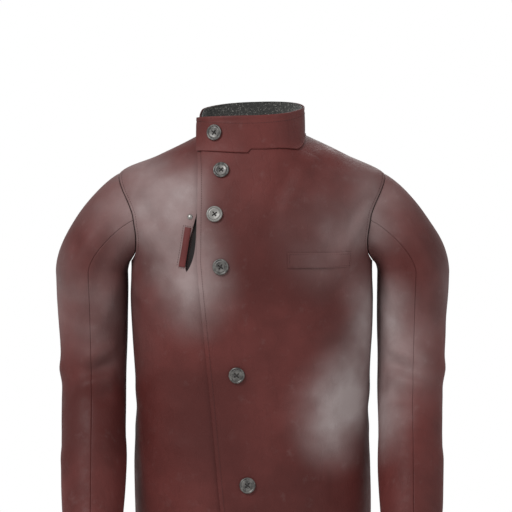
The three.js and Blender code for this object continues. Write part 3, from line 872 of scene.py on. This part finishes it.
def collar_band(name, first, last, outer, rise, stuff):
    """A band of the collar from the angle first to the angle last."""
    length = abs(math.radians(last - first)) * NECK_RADIUS

    def place(u, t, more):
        angle = first + u * (last - first)
        here = collar_point(angle, t, rise, outer)
        ends = [collar_point(0 * u + end, t, rise, outer) for end in (first, last)]
        ends += [collar_point(angle, 0 * t + end, rise, outer) for end in (0, 1)]
        edges = [length_of(here - end) for end in ends]
        sunk = rolled(np.min(edges, axis=0)) + stitch_groove(edges[3]) * (rise > -LEATHER)
        up = collar_point(angle, np.minimum(t + BAND_STEP, 1), rise, outer)
        up = up - collar_point(angle, np.maximum(t - BAND_STEP, 0), rise, outer)
        around = collar_point(angle + 1, t, rise, outer) - collar_point(angle - 1, t, rise, outer)
        return here + unit(np.cross(around, up)) * (rise - sunk + more)[:, None]

    across, down = steps(length, COLLAR_GRID), steps(COLLAR_HEIGHT, COLLAR_GRID)
    return bent_sheet(name, across, down, place, stuff)


for name, first, last, outer, motion, node, lining_node, flat, rests_on in (
    ("collar_back", COLLAR_START, COLLAR_SEAM_ANGLE - 360, False, "jacket_body", "collar",
     "collar_lining", (0.42, 0.075), "back_leather"),
    ("collar_front", COLLAR_SEAM_ANGLE, TAB_END, True, TAB_OPENING, "collar_tab",
     "collar_tab_lining", (0.25, 0.075), "left_front_leather"),
):
    band = collar_band(f"{name}_leather", first, last, outer, 0.0, HIDE)
    declare(band, motion, [node], flat)
    cloth = collar_band(f"{name}_cloth", first, last, outer, -FACING_DROP, FACING_CLOTH)
    declare(cloth, motion, [lining_node], flat)

# Sleeves: set into the armholes, with a full head, and bent a little forward at the elbow. Each is
# a top and an under half, cut again at the elbow, and its lining hangs inside.
SLEEVE_INNER_X = 200 * MM
BICEP_Z = -216 * MM
UPPER_LENGTH = 160 * MM
SLEEVE_LENGTH = 460 * MM
SLEEVE_HALF_D = np.array([0, 160, 460]) * MM
SLEEVE_HALF_X = np.array([57, 53, 45]) * MM
SLEEVE_HALF_Y = np.array([70, 62, 52]) * MM
FOREARM_TILT = math.radians(30)
HEAD_SPREAD = 1 - 0.6 / 66
HEAD_FALL = (28, 20)
HEAD_FULLNESS = 0.8
HEAD_TIE_END, HEAD_CALM_END = 0.6, 0.5
SLEEVE_GRID = 4.2 * MM
SLEEVE_FOLDS = [
    ((206, -50, -330), (272, -76, -352), 12, 5.4),
    ((206, -58, -352), (262, -84, -372), 10, -5.7),
    ((208, -62, -376), (284, -84, -396), 12, 5.7),
    ((214, -84, -400), (284, -78, -432), 12, -4.3),
    ((300, -40, -360), (286, 40, -392), 14, 4.6),
    ((304, -20, -400), (270, 40, -430), 13, -4.1),
    ((232, -66, -128), (300, -46, -250), 17, 5.1),
    ((214, -70, -150), (262, -74, -300), 16, -4.9),
    ((204, -30, -200), (240, -72, -300), 15, 3.6),
    ((226, 66, -120), (302, 40, -250), 18, 4.9),
    ((206, 40, -200), (250, 66, -330), 16, -3.6),
    ((300, 10, -130), (312, 20, -330), 16, 3.5),
    ((218, -120, -460), (292, -96, -500), 15, 4.1),
    ((216, -120, -520), (280, -150, -600), 17, -4.1),
    ((290, -80, -480), (276, -150, -620), 18, 4.1),
    ((206, -60, -470), (216, -100, -600), 16, 3.0),
]
# The upper sleeve bends along a slanting line out of the armhole, and the lower one from the elbow
# down. Each bend has a start, where the leather stays still, and an end, where it moves in full.
SHOULDER_DIRECTION = np.array([math.cos(math.radians(30)), 0, -math.sin(math.radians(30))])
SHOULDER_START = SHOULDER_DIRECTION * 255 * MM
SHOULDER_END = SHOULDER_DIRECTION * 362 * MM
ELBOW_DIRECTION = np.array([0, -0.2588, -0.9659])
ELBOW_REACH = 110 * MM
ELBOW_START = np.array([0.253, -0.00976, -0.3752])
ELBOW_END = ELBOW_START + ELBOW_DIRECTION * ELBOW_REACH
SLEEVE_RADIUS = 62 * MM

PATH_D = np.linspace(0, SLEEVE_LENGTH, 461)
PATH_TILT = FOREARM_TILT * smooth(PATH_D, 60 * MM, 260 * MM)
PATH_Y = -np.concatenate([[0], np.cumsum(np.sin(PATH_TILT[:-1] / 2 + PATH_TILT[1:] / 2) * MM)])
PATH_Z = BICEP_Z - np.concatenate([[0], np.cumsum(np.cos(PATH_TILT[:-1] / 2 + PATH_TILT[1:] / 2) * MM)])


def tube_point(turn, d):
    """A place on the left sleeve: turn is 0 outside, 90 in front and 180 inside."""
    half_x = np.interp(d, SLEEVE_HALF_D, SLEEVE_HALF_X)
    half_y = np.interp(d, SLEEVE_HALF_D, SLEEVE_HALF_Y)
    tilt = np.interp(d, PATH_D, PATH_TILT)
    forward = half_y * np.sin(np.radians(turn))
    x = SLEEVE_INNER_X + half_x + half_x * np.cos(np.radians(turn))
    y = np.interp(d, PATH_D, PATH_Y) - forward * np.cos(tilt)
    z = np.interp(d, PATH_D, PATH_Z) + forward * np.sin(tilt)
    return np.stack([x, y, z], axis=1)


def armhole_at(turn, spread=HEAD_SPREAD):
    """The angle and v on an oval about the left side, where a spread of 1 is the armhole."""
    angle = 90 - ARMHOLE_HALF_ANGLE * spread * np.sin(np.radians(turn))
    return angle, ARMHOLE_V - ARMHOLE_HALF_V * spread * np.cos(np.radians(turn))


def sleeve_point(turn, s):
    """A place on the left sleeve, with s from 0 at the armhole to 1 at the bicep and 2 at the elbow."""
    t = np.clip(s, 0, 1)[:, None]
    angle, v = armhole_at(turn)
    start = form(angle, v) + form_normal(angle, v) * SEAM_GAP
    end = tube_point(turn, 0 * turn)
    fall = np.radians(between(HEAD_FALL, (1 - np.cos(np.radians(turn))) / 2))
    reach = length_of(end - start)[:, None] * HEAD_FULLNESS
    out = np.stack([np.cos(fall), 0 * fall, -np.sin(fall)], axis=1) * reach
    down = np.array([0, 0, -1]) * reach
    d = np.clip((s - 1) * UPPER_LENGTH, 0, SLEEVE_LENGTH)
    return np.where((s < 1)[:, None], curve(t, start, out, end, down), tube_point(turn, d))


SLEEVE_END = 1 + SLEEVE_LENGTH / UPPER_LENGTH


def worn_sleeve_point(side, turn, s, rise):
    """A place on either sleeve, with its folds: side is 1 on the left and -1 on the right."""
    flip = np.array([side, 1, 1])
    base = sleeve_point(turn, s)
    around = sleeve_point(turn + 1, s) - sleeve_point(turn - 1, s)
    low, high = np.maximum(s - ROW_STEP, 0), np.minimum(s + ROW_STEP, SLEEVE_END)
    normal = unit(np.cross(around, sleeve_point(turn, high) - sleeve_point(turn, low)))
    angle, v = armhole_at(turn)
    seam = form(angle, v)
    tie = form_normal(angle, v) * ((1 - smooth(s, 0, HEAD_TIE_END)) * body_folds(seam * flip, v))[:, None]
    worn = smooth(s, 0, HEAD_CALM_END) * fold_height(base * flip, on_side(side, SLEEVE_FOLDS))
    return (base + normal * (rise + worn)[:, None] + tie) * flip


def sleeve_piece(name, side, turns, span, rise, stuff, grid):
    """A piece of a sleeve between two turns, over a span of s."""
    first, last = turns
    width = math.radians(last - first) * SLEEVE_RADIUS
    length = (span[1] - span[0]) * UPPER_LENGTH

    def place(u, s, more):
        turn = first + u * (last - first)
        here = sleeve_point(turn, s)
        ends = [(0 * u + first, s), (0 * u + last, s), (turn, 0 * s), (turn, 0 * s + SLEEVE_END)]
        edges = [length_of(here - sleeve_point(*end)) for end in ends]
        if last - first >= 360:
            edges = edges[2:]
        return worn_sleeve_point(side, turn, s, rise - rolled(np.min(edges, axis=0)) + more)

    rows = span[0] + (span[1] - span[0]) * steps(length, grid)
    return bent_sheet(name, steps(width, grid), rows, place, stuff)


for side, side_name in ((1, "left"), (-1, "right")):
    flip = np.array([side, 1, 1])
    raising = ("jacket_body", f"{side_name}_upper_sleeve",
               tuple(SHOULDER_START * flip), tuple(SHOULDER_END * flip))
    bending = (f"{side_name}_upper_sleeve", f"{side_name}_forearm",
               tuple(ELBOW_START * flip), tuple(ELBOW_END * flip))
    for part, span, motion, nodes, length in (
        ("upper", (0.0, 2.0), raising, ("sleeve_head", "upper_sleeve"), 0.36),
        ("lower", (2.0, SLEEVE_END), bending, ("forearm_sleeve",), 0.31),
    ):
        for half, turns in (("top", (-90.0, 90.0)), ("under", (90.0, 270.0))):
            name = f"{side_name}_{part}_sleeve_{half}_leather"
            hide = sleeve_piece(name, side, turns, span, 0.0, HIDE, SLEEVE_GRID)
            stands_for = [f"{side_name}_{node}_{half}" for node in nodes]
            declare(hide, motion, stands_for, (0.24, length))
        name = f"{side_name}_{part}_sleeve_cloth"
        drop = -LEATHER - LAYER_GAP
        cloth = sleeve_piece(name, side, (-90.0, 270.0), span, drop, LINING_CLOTH, CLOTH_GRID)
        stands_for = [f"{side_name}_{node}_lining" for node in nodes]
        declare(cloth, motion, stands_for, (0.42, length))

# Pockets: a welt on the left chest, and a red lip beside the right hand's slit. Each has a bag of
# plain cotton behind the leather.
WELT_MIDDLE = (103 * MM, -192 * MM)
WELT_SIZE = (100 * MM, 24 * MM)
WELT_THICKNESS = 1.6 * MM
WELT_CLEARANCE = 0.2 * MM
WELT_CROWN = 0.8 * MM
PATCH_GRID = 3 * MM
LIP_MIDDLE = (-103.5 * MM, -172 * MM)
LIP_SIZE = (10 * MM, 62 * MM)
LIP_CROWN = 1.2 * MM
BAG_DROP = LEATHER + 1.8 * MM
BAG_CLOTH = 1.0 * MM
CHEST_BAG_MIDDLE = (103 * MM, -257 * MM)
CHEST_BAG_SIZE = (90 * MM, 130 * MM)
SLIT_BAG_SIZE = (40 * MM, 112 * MM)
LIP_DEEP = (0.060, 0.012, 0.012, 1)
LIP_RED = (0.155, 0.034, 0.032, 1)
COTTON_DARK = (0.012, 0.010, 0.010, 1)
COTTON = (0.026, 0.022, 0.021, 1)
WEAVE_SCALE = 420.0


def cotton_shader(name, dark, light):
    shader = Shader(name)
    weave = shader.waves(WEAVE_SCALE, "X", 0.6) * 0.5 + shader.waves(WEAVE_SCALE, "Z", 0.6, 1) * 0.5
    colour = shader.mix(weave, dark, light)
    roughness = shader.ramp(shader.noise(60.0), 0.3, 0.7, 0.85, 0.98)
    return shader.finish(colour, roughness, shader.bump(weave, 0.0002))


# The lip's leather takes the first patch of the painted glare, faintly.
lip_leather = leather_shader("red_lip_leather", LIP_DEEP, LIP_RED, PALE_SCUFF_AND_GLARE, GLARE_PATCHES[:1], 0.2)
pocket_cotton = cotton_shader("pocket_cotton", COTTON_DARK, COTTON)
WELT_HIDE = (WELT_THICKNESS, body_leather, "dark_leather")
LIP_HIDE = (WELT_THICKNESS, lip_leather, "dark_leather")
POCKETING = (BAG_CLOTH, pocket_cotton, "pocketing")


def leaning_spot(middle, lean, across, up):
    """The angle and v of places across and up from a middle, on axes turned by lean degrees."""
    c, s = math.cos(math.radians(lean)), math.sin(math.radians(lean))
    return spot_at(middle[0] + across * c + up * s, middle[1] + up * c - across * s)


def patch(name, middle, size, lean, rise, stuff, crown):
    """A rectangle laid on the front: rise(angle, v) is its outer face's offset."""

    def place(u, t, more):
        angle, v = leaning_spot(middle, lean, (u - 0.5) * size[0], (t - 0.5) * size[1])
        from_edge = np.minimum(np.minimum(u, 1 - u) * size[0], np.minimum(t, 1 - t) * size[1])
        swell = crown * np.sin(np.pi * u) * np.sin(np.pi * t) ** 0.3
        return body_point(angle, v, rise(angle, v) - rolled(from_edge) + swell + more)

    across, down = steps(size[0], PATCH_GRID), steps(size[1], PATCH_GRID)
    return bent_sheet(name, across, down, place, stuff)


def welt_rise(angle, v):
    return lift(angle, v) + WELT_THICKNESS + WELT_CLEARANCE


def chest_bag_rise(angle, v):
    return lift(angle, v) - BAG_DROP


for name, middle, size, lean, rise, stuff, crown, node, rests_on in (
    ("chest_welt_leather", WELT_MIDDLE, WELT_SIZE, 0, welt_rise, WELT_HIDE, WELT_CROWN,
     "chest_pocket_welt", "left_front_leather"),
    ("slit_lip_leather", LIP_MIDDLE, LIP_SIZE, SLIT_LEAN, lambda angle, v: WELT_THICKNESS, LIP_HIDE,
     LIP_CROWN, "slit_pocket_welt", "right_front_leather"),
    ("chest_pocket_cloth", CHEST_BAG_MIDDLE, CHEST_BAG_SIZE, 0, chest_bag_rise, POCKETING, 0.0,
     "chest_pocket_bag", "left_front_leather"),
    ("slit_pocket_cloth", SLIT_MIDDLE, SLIT_BAG_SIZE, SLIT_LEAN, lambda angle, v: -BAG_DROP, POCKETING,
     0.0, "slit_pocket_bag", "right_front_leather"),
):
    laid = patch(name, middle, size, lean, rise, stuff, crown)
    declare(laid, "jacket_body", [node], size)

# Buttons: turned pewter-grey coat buttons with a raised rim, a groove and a dished middle with
# four holes, sewn on with a dark cross of doubled thread. One is on the tab and five on the overlap.
BUTTON_PROFILE = [
    # radius and height in millimetres, from the middle of the back
    (0, 0), (10.6, 0), (11.9, 0.6), (12.5, 1.7), (12.4, 2.9), (11.9, 3.6), (11.1, 3.9), (10.3, 3.7),
    (9.7, 3.1), (9.2, 2.7), (8.7, 2.9), (8.2, 3.2), (7.4, 3.2), (6.2, 2.9), (4.4, 2.6), (0, 2.5),
]
BUTTON_HOLE_RADIUS = 1.15 * MM
BUTTON_HOLE_PLACE = 2.5 * MM
THREAD_RADIUS = 0.5 * MM
THREAD_TOP = 3.3 * MM
THREAD_REACH = 1.5 * BUTTON_HOLE_PLACE
THREAD_DIP = 1.6 * MM
THREAD_CROSSING = 0.5 * MM
BUTTON_LIFT = 0.4 * MM
TAB_BUTTON_X = -53 * MM
BUTTON_SHIFTS = ((2.2, -8.8), (2.0, -3.2), (1.8, 1.2), (0, 3.6), (0, 0))
BUTTON_TURNS = (4, -9, 12, -3, 7)
PEWTER_DARK = (0.045, 0.042, 0.040, 1)
PEWTER = (0.165, 0.158, 0.148, 1)
PEWTER_PALE = (0.33, 0.32, 0.30, 1)
THREAD_DARK = (0.010, 0.009, 0.009, 1)
THREAD_LIGHT = (0.040, 0.034, 0.032, 1)
BUTTON_GLOSS = {"Coat Weight": 0.25, "Coat Roughness": 0.3}
# The middle of the one button that is painted pale with glare, a painted highlight.
GLARE_PALE_BUTTON = (-0.057, -0.126, -0.121)


def horn_shader(name, dark, mid, pale):
    shader = Shader(name, BUTTON_GLOSS)
    cloud = shader.noise(160.0, 4.0, 0.6)
    brushed = shader.noise(600.0, 3.0, 0.6, stretch=(1.0, 1.0, 0.25))
    colour = shader.mix(shader.ramp(cloud, 0.35, 0.65), dark, mid)
    colour = shader.mix(shader.ramp(brushed, 0.55, 0.8) * 0.5, colour, pale)
    # Painted highlight: the button under the glare is painted pale.
    colour = shader.mix(shader.near(GLARE_PALE_BUTTON, 0.03) * 0.7, colour, pale)
    shader.feed(shader.surface.inputs["Metallic"], shader.ramp(cloud, 0.3, 0.7, 0.3, 0.55))
    normal = shader.bump(brushed + cloud, 0.00012)
    return shader.finish(colour, shader.ramp(brushed, 0.3, 0.7, 0.34, 0.52), normal)


def thread_shader(name, dark, light):
    shader = Shader(name)
    twist = shader.waves(900.0, "DIAGONAL", 1.0, 1)
    return shader.finish(shader.mix(twist, dark, light), shader.ramp(twist, 0, 1, 0.6, 0.8),
                         shader.bump(twist, 0.0002))


pewter = horn_shader("pewter_button", PEWTER_DARK, PEWTER, PEWTER_PALE)
dark_thread = thread_shader("dark_thread", THREAD_DARK, THREAD_LIGHT)


def turned(profile, segments):
    """A solid turned about Z from a profile in millimetres that starts and ends on the axis."""
    bm = bmesh.new()
    verts = [bm.verts.new((r * MM, 0, z * MM)) for r, z in profile]
    edges = [bm.edges.new(pair) for pair in zip(verts, verts[1:])]
    bmesh.ops.spin(bm, geom=verts + edges, axis=(0, 0, 1), cent=(0, 0, 0), steps=segments,
                   angle=2 * math.pi, use_merge=True)
    bmesh.ops.remove_doubles(bm, verts=bm.verts, dist=1e-6)
    bmesh.ops.recalc_face_normals(bm, faces=bm.faces)
    return bm


def button(name, place, turn, body, node):
    """Makes a button and its thread, standing on place, and turned by turn degrees."""
    spin = Matrix.Rotation(math.radians(turn), 4, "Z")
    disc = finished(name, turned(BUTTON_PROFILE, 48), pewter)
    bores = bmesh.new()
    for x, y in ((-1, -1), (-1, 1), (1, -1), (1, 1)):
        at = Matrix.Translation((x * BUTTON_HOLE_PLACE, y * BUTTON_HOLE_PLACE, 2 * MM))
        bmesh.ops.create_cone(bores, cap_ends=True, segments=16, radius1=BUTTON_HOLE_RADIUS,
                              radius2=BUTTON_HOLE_RADIUS, depth=9 * MM, matrix=at)
    carve(disc, finished(f"{name}_bores", bores, pewter))
    disc.data.transform(place @ spin)
    follow(disc, body)
    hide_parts(node)
    bm = bmesh.new()
    for across, over in ((45, THREAD_CROSSING), (135, 0)):
        for beside in (-0.75, 0.75):
            strand = bmesh.ops.create_uvsphere(bm, u_segments=8, v_segments=14, radius=1)["verts"]
            for vert in strand:
                along = vert.co.z
                bend = over * (1 - along**2) - THREAD_DIP * along**4
                vert.co = (along * THREAD_REACH, (vert.co.y + beside) * THREAD_RADIUS,
                           THREAD_TOP + vert.co.x * THREAD_RADIUS + bend)
            bmesh.ops.rotate(bm, verts=strand, cent=(0, 0, 0),
                             matrix=Matrix.Rotation(math.radians(across), 3, "Z"))
    bmesh.ops.recalc_face_normals(bm, faces=bm.faces)
    bm.transform(place @ spin)
    follow(finished(f"{name}_thread", bm, dark_thread), body)


for index, turn, shift in zip(range(1, 6), BUTTON_TURNS, BUTTON_SHIFTS):
    node = f"front_button_{index}"
    middle = middle_of(node)
    angle, v = one_spot(middle[0] + shift[0] * MM, middle[2] + shift[1] * MM)
    button(f"overlap_button_{index}", basis_at(angle, v, OVERLAP_LIFT + BUTTON_LIFT), turn,
           "front_flap", node)


def tab_basis(node, rise):
    """A matrix on the tab's outer face at a node's place: +Z outward and +Y up."""
    level = np.linspace(0, 1, 60)
    angle = 0 * level + angle_at_x(TAB_BUTTON_X, ZERO)
    up_line = collar_point(angle, level, 0.0, True)
    beside = collar_point(angle + 4, level, 0.0, True)
    k = int(np.argmin(np.abs(up_line[:, 2] - middle_of(node)[2])))
    point = Vector(up_line[k])
    up = Vector(up_line[k + 2] - up_line[k - 2]).normalized()
    out = Vector(beside[k] - up_line[k]).cross(up).normalized()
    turn = Matrix((up.cross(out), up, out)).transposed().to_4x4()
    return Matrix.Translation(point + out * rise) @ turn


button("tab_button", tab_basis("collar_button", BUTTON_LIFT), 10, "collar_flap", "collar_button")

# Press fasteners: nickel sockets behind the buttons and studs on the underlap, and one small pale
# stud that closes the slit.
NICKEL_DARK = (0.20, 0.19, 0.18, 1)
NICKEL = (0.46, 0.45, 0.43, 1)
SLIT_STUD_PROFILE = [(0, 0), (4.1, 0), (4.1, 0.5), (3.7, 0.9), (3.3, 1.0), (3.0, 1.5), (2.3, 2.1),
                     (1.2, 2.45), (0, 2.55)]
SLIT_STUD_PLACE = (-96 * MM, -125 * MM)
SINK_CLEARANCE = 0.1 * MM


def nickel_shader(name, dark, light):
    shader = Shader(name)
    tarnish = shader.noise(300.0, 4.0, 0.6)
    shader.feed(shader.surface.inputs["Metallic"], shader.ramp(tarnish, 0.3, 0.7, 0.75, 0.95))
    colour = shader.mix(shader.ramp(tarnish, 0.35, 0.7), light, dark)
    return shader.finish(colour, shader.ramp(tarnish, 0.3, 0.7, 0.28, 0.46), shader.bump(tarnish, 0.00006))


nickel = nickel_shader("worn_nickel", NICKEL_DARK, NICKEL)
for name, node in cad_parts.items():
    if "_socket" in name or ("_stud" in name and name != "slit_pocket_stud"):
        node.data.materials.clear()
        node.data.materials.append(nickel)
bm = turned(SLIT_STUD_PROFILE, 32)
bm.transform(basis_at(*one_spot(*SLIT_STUD_PLACE), SINK_CLEARANCE))
slit_stud = finished("slit_cap_stud", bm, nickel)
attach(slit_stud, "jacket_body")
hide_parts("slit_pocket_stud")

# Topstitching: burgundy thread in a shallow groove along the overlap's edge, the collar's rim, the
# armholes, the pockets, the hem and the cuffs.
STITCH_PITCH = 3.8 * MM
STITCH_SIZE = (3.0 * MM, 0.75 * MM, 0.7 * MM)
HEM_STITCH_V = HEM_V - 0.16
CUFF_STITCH_INSET = 18 * MM
ARMHOLE_STITCH_SPREAD = 1.10
# Turns round an armhole that stop short of the shoulder and the side seam.
ARMHOLE_TURNS = np.linspace(0, 180, 300)[18:-18]
WELT_STITCH_INSET = 2.6 * MM
LIP_STITCH_SIZE = (LIP_SIZE[0] + 5.6 * MM, LIP_SIZE[1] + 3.6 * MM)
STITCH_RISE = 0.1 * MM
THREAD_RED_DARK = (0.030, 0.008, 0.008, 1)
THREAD_RED = (0.105, 0.030, 0.028, 1)
red_thread = thread_shader("burgundy_thread", THREAD_RED_DARK, THREAD_RED)


def stitch_row(name, line, lifted, motion):
    """Stitches along a line of points, where lifted is the same line a little further out."""
    distance = np.concatenate([[0], np.cumsum(length_of(np.diff(line, axis=0)))])
    marks = np.arange(STITCH_PITCH, distance[-1] - STITCH_PITCH, STITCH_PITCH)
    at = np.stack([np.interp(marks, distance, line[:, k]) for k in range(3)], axis=1)
    out = unit(np.stack([np.interp(marks, distance, (lifted - line)[:, k]) for k in range(3)], axis=1))
    ahead = np.stack([np.interp(marks + MM, distance, line[:, k]) for k in range(3)], axis=1)
    bm = bmesh.new()
    for point, normal, along in zip(at, out, unit(ahead - at)):
        z = Vector(normal)
        y = z.cross(Vector(along)).normalized()
        x = y.cross(z)
        turn = Matrix((x * STITCH_SIZE[0] / 2, y * STITCH_SIZE[1] / 2, z * STITCH_SIZE[2] / 2))
        matrix = Matrix.Translation(point) @ turn.transposed().to_4x4()
        bmesh.ops.create_uvsphere(bm, u_segments=6, v_segments=5, radius=1, matrix=matrix)
    follow(finished(name, bm, red_thread), motion)


def body_stitches(name, angle, v, rise, motion):
    """A row of stitches on the body, rise metres outside the worn leather."""
    stitch_row(name, body_point(angle, v, rise), body_point(angle, v, rise + MM), motion)


down = np.linspace(0.12, HEM_V - 0.03, 900)
edge = overlap_edge(down)
degrees_per_metre = 5.0 / length_of(form(edge + 5.0, down) - form(edge, down))
inset = edge + degrees_per_metre * STITCH_INSET
sunk = OVERLAP_LIFT - edge_dip(STITCH_INSET) - GROOVE_DEPTH / 2
body_stitches("overlap_edge_stitches", inset, down, 0 * down + sunk, OPENING)

hem_v = np.full(500, HEM_STITCH_V)
for name, first, last, lapped, motion in (
    # from the first angle to the last, and whether the row lies on the overlap
    ("back_hem_stitches", 92.0, 268.0, False, "jacket_body"),
    ("right_hem_stitches", -88.0, 7.0, False, "jacket_body"),
    ("left_hem_stitches", float(overlap_edge(hem_v)[0]) + 2, 88.0, True, OPENING),
):
    around = np.linspace(first, last, 500)
    body_stitches(name, around, hem_v, lift(around, hem_v) * lapped + STITCH_RISE, motion)

angle, v = armhole_at(ARMHOLE_TURNS, ARMHOLE_STITCH_SPREAD)
for name, turned_angle, lapped, motion in (
    ("left_front_armhole_stitches", angle, True, OPENING),
    ("right_front_armhole_stitches", -angle, False, "jacket_body"),
    ("left_back_armhole_stitches", 180 - angle, False, "jacket_body"),
    ("right_back_armhole_stitches", angle - 180, False, "jacket_body"),
):
    body_stitches(name, turned_angle, v, lift(turned_angle, v) * lapped + STITCH_RISE, motion)

for name, outer, first, last, motion in (
    ("collar_back_stitches", False, COLLAR_SEAM_ANGLE - 360, COLLAR_START - 4, "jacket_body"),
    ("collar_front_stitches", True, TAB_END + 4, COLLAR_SEAM_ANGLE, TAB_OPENING),
):
    around = np.linspace(first, last, 500)
    level = np.full(500, 1 - STITCH_INSET / COLLAR_HEIGHT)
    line = collar_point(around, level, 0.0, outer)
    stitch_row(name, line, line + neck_out(around) * MM, motion)

for side, side_name in ((1, "left"), (-1, "right")):
    around = np.linspace(-89, 269, 400)
    cuff = np.full(400, SLEEVE_END - CUFF_STITCH_INSET / UPPER_LENGTH)
    line = worn_sleeve_point(side, around, cuff, STITCH_RISE)
    lifted = worn_sleeve_point(side, around, cuff, MM)
    stitch_row(f"{side_name}_cuff_stitches", line, lifted, f"{side_name}_forearm")


def patch_stitches(name, middle, size, lean, inset, rise):
    """A row of stitches round a patch, inset from its edges."""
    half_x, half_y = size[0] / 2 - inset, size[1] / 2 - inset
    corners = np.array([(-half_x, -half_y), (half_x, -half_y), (half_x, half_y), (-half_x, half_y),
                        (-half_x, -half_y)])
    share = np.linspace(0, 4, 400)
    across, up = (np.interp(share, range(5), corners[:, k]) for k in (0, 1))
    angle, v = leaning_spot(middle, lean, across, up)
    body_stitches(name, angle, v, rise(angle, v), "jacket_body")


patch_stitches("welt_stitches", WELT_MIDDLE, WELT_SIZE, 0, WELT_STITCH_INSET,
               lambda angle, v: welt_rise(angle, v) + 2 * STITCH_RISE)
patch_stitches("lip_stitches", LIP_MIDDLE, LIP_STITCH_SIZE, SLIT_LEAN, 0.0, lambda angle, v: STITCH_RISE)
